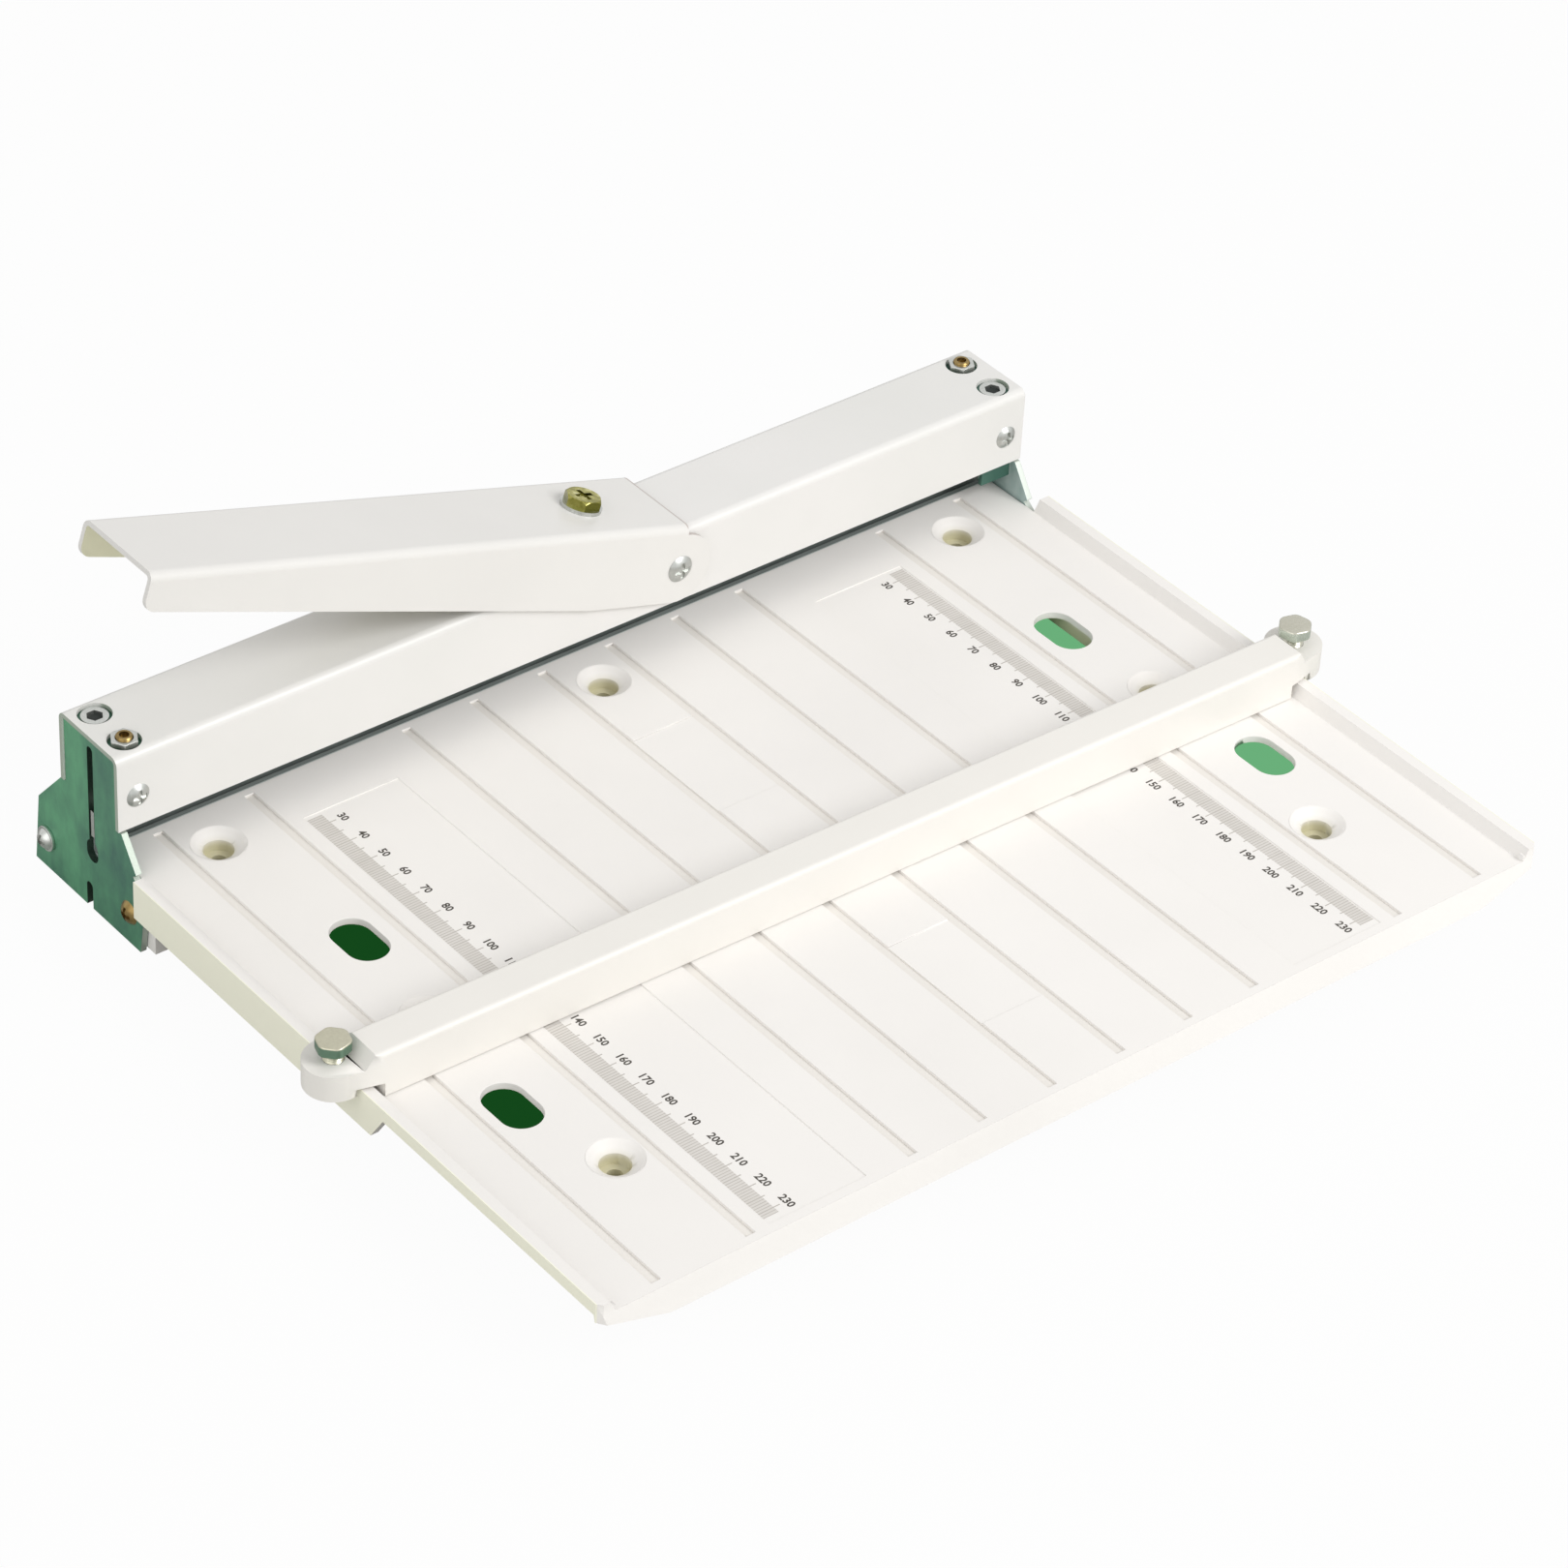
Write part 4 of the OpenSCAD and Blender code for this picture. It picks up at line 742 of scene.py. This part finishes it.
def buildWorld(p):
    # camera, glossy and transmission rays see plain white, so metal reflects it too
    world = bpy.data.worlds.new("studioWorld")
    bpy.context.scene.world = world
    world.use_nodes = True
    tree = world.node_tree
    tree.nodes.clear()
    light = addNode(tree, "ShaderNodeBackground", {"Color": colour(p["tone"]), "Strength": p["strength"]})
    seen = addNode(tree, "ShaderNodeBackground", {"Color": white, "Strength": p["seen"]})
    rays = addNode(tree, "ShaderNodeLightPath").outputs
    clearRay = rays["Is Camera Ray"]
    for label in ("Is Glossy Ray", "Is Transmission Ray"):
        clearRay = mathNode(tree, "MAXIMUM", clearRay, rays[label])
    mix = addNode(tree, "ShaderNodeMixShader")
    wire(tree, clearRay, mix.inputs["Fac"])
    wire(tree, light.outputs["Background"], mix.inputs[1])
    wire(tree, seen.outputs["Background"], mix.inputs[2])
    out = addNode(tree, "ShaderNodeOutputWorld")
    wire(tree, mix.outputs["Shader"], out.inputs["Surface"])


def stagePiece(bm, name, material):
    mesh = bpy.data.meshes.new(name)
    bm.to_mesh(mesh)
    bm.free()
    mesh.materials.append(material)
    piece = bpy.data.objects.new(name, mesh)
    bpy.context.scene.collection.objects.link(piece)


def glowForCamera(tree, shader, glow, share):
    # the camera sees this share of the glow, and all other rays see the lit surface
    cameraRay = addNode(tree, "ShaderNodeLightPath").outputs["Is Camera Ray"]
    mix = addNode(tree, "ShaderNodeMixShader")
    wire(tree, mathNode(tree, "MULTIPLY", cameraRay, share), mix.inputs["Fac"])
    wire(tree, shader.outputs["BSDF"], mix.inputs[1])
    wire(tree, glow.outputs["Emission"], mix.inputs[2])
    wire(tree, mix.outputs["Shader"], tree.nodes["Material Output"].inputs["Surface"])


paleFloor = dict(half=6.0, tone="#cfcfcc", rough=0.9, glow=1.0, share=0.96)


def buildFloor(p):
    bm = bmesh.new()
    bmesh.ops.create_grid(bm, x_segments=1, y_segments=1, size=p["half"])
    material, tree, shader = startMaterial("paleFloor")[:3]
    shader.inputs["Base Color"].default_value = colour(p["tone"])
    shader.inputs["Roughness"].default_value = p["rough"]
    glow = addNode(tree, "ShaderNodeEmission", {"Color": white, "Strength": p["glow"]})
    glowForCamera(tree, shader, glow, p["share"])
    stagePiece(bm, "paleFloor", material)


# a card under each of the long holes, in millimetres; the tone runs across span, which is in metres, from
# painted shade on the left to painted light on the right, and the cards glow for the camera
greenCards = dict(places=((127.0, 27.0), (134.5, -53.5)), reach=(15.0, 19.0), shift=(3.5, 4.0), high=16.0,
                  left="#17501f", right="#76c288", span=(-0.12, 0.12), stops=(0.3, 0.9), rough=0.85,
                  glow=0.8, share=1.0)


def buildGreenCards(p):
    # green backdrop that shows through the bed's long holes, glowing, with painted shade and painted light
    # across it
    bm = bmesh.new()
    size = Matrix.Diagonal((p["reach"][0] * mm, p["reach"][1] * mm, 1.0, 1.0))
    shiftX, shiftY = p["shift"]
    for x, y in p["places"]:
        for side in (-1, 1):
            made = bmesh.ops.create_grid(bm, x_segments=1, y_segments=1, size=1.0)
            place = Matrix.Translation(((side * x + shiftX) * mm, (y + shiftY) * mm, p["high"] * mm))
            bmesh.ops.transform(bm, matrix=place @ size, verts=made["verts"])
    material, tree, shader = startMaterial("greenCards")[:3]
    across = addNode(tree, "ShaderNodeMapRange", {"From Min": p["span"][0], "From Max": p["span"][1]})
    wire(tree, placeOn(tree, "X"), across.inputs["Value"])
    tone = ramp(tree, across.outputs["Result"],
                [(p["stops"][0], colour(p["left"])), (p["stops"][1], colour(p["right"]))])
    wire(tree, tone, shader.inputs["Base Color"])
    shader.inputs["Roughness"].default_value = p["rough"]
    glow = addNode(tree, "ShaderNodeEmission", {"Strength": p["glow"]})
    wire(tree, tone, glow.inputs["Color"])
    glowForCamera(tree, shader, glow, p["share"])
    stagePiece(bm, "greenCards", material)


lamps = {
    "keyLight": dict(power=19.6, size=0.9, place=(0.62, -1.32, 1.25), aim=(0.0, 0.0, 0.03)),
    "fillLight": dict(power=7.0, size=1.5, place=(-1.45, -0.35, 0.85), aim=(0.0, 0.0, 0.03)),
}


def softBox(name, p):
    lamp = bpy.data.lights.new(name, "AREA")
    lamp.shape = "SQUARE"
    lamp.size = p["size"]
    lamp.energy = p["power"]
    holder = bpy.data.objects.new(name, lamp)
    holder.location = p["place"]
    holder.rotation_euler = (Vector(p["aim"]) - Vector(p["place"])).to_track_quat("-Z", "Y").to_euler()
    bpy.context.scene.collection.objects.link(holder)


photoCamera = dict(place=(-0.82947, -0.96744, 0.99935), right=(0.78136, -0.62230, 0.04710),
                   up=(0.34577, 0.49451, 0.79743), back=(-0.51954, -0.60680, 0.60156),
                   lens=130.77, sensor=36.0, farClip=20.0)


def buildCamera(p):
    data = bpy.data.cameras.new("photoCamera")
    data.lens = p["lens"]
    data.sensor_width = p["sensor"]
    data.clip_end = p["farClip"]
    camera = bpy.data.objects.new("photoCamera", data)
    turn = Matrix((p["right"], p["up"], p["back"])).transposed().to_4x4()
    camera.matrix_world = Matrix.Translation(p["place"]) @ turn
    bpy.context.scene.collection.objects.link(camera)
    bpy.context.scene.camera = camera


buildWorld(worldLight)
buildFloor(paleFloor)
buildGreenCards(greenCards)
for name, lamp in lamps.items():
    softBox(name, lamp)
buildCamera(photoCamera)
bpy.context.scene.view_settings.view_transform = "Standard"
print("studio set")
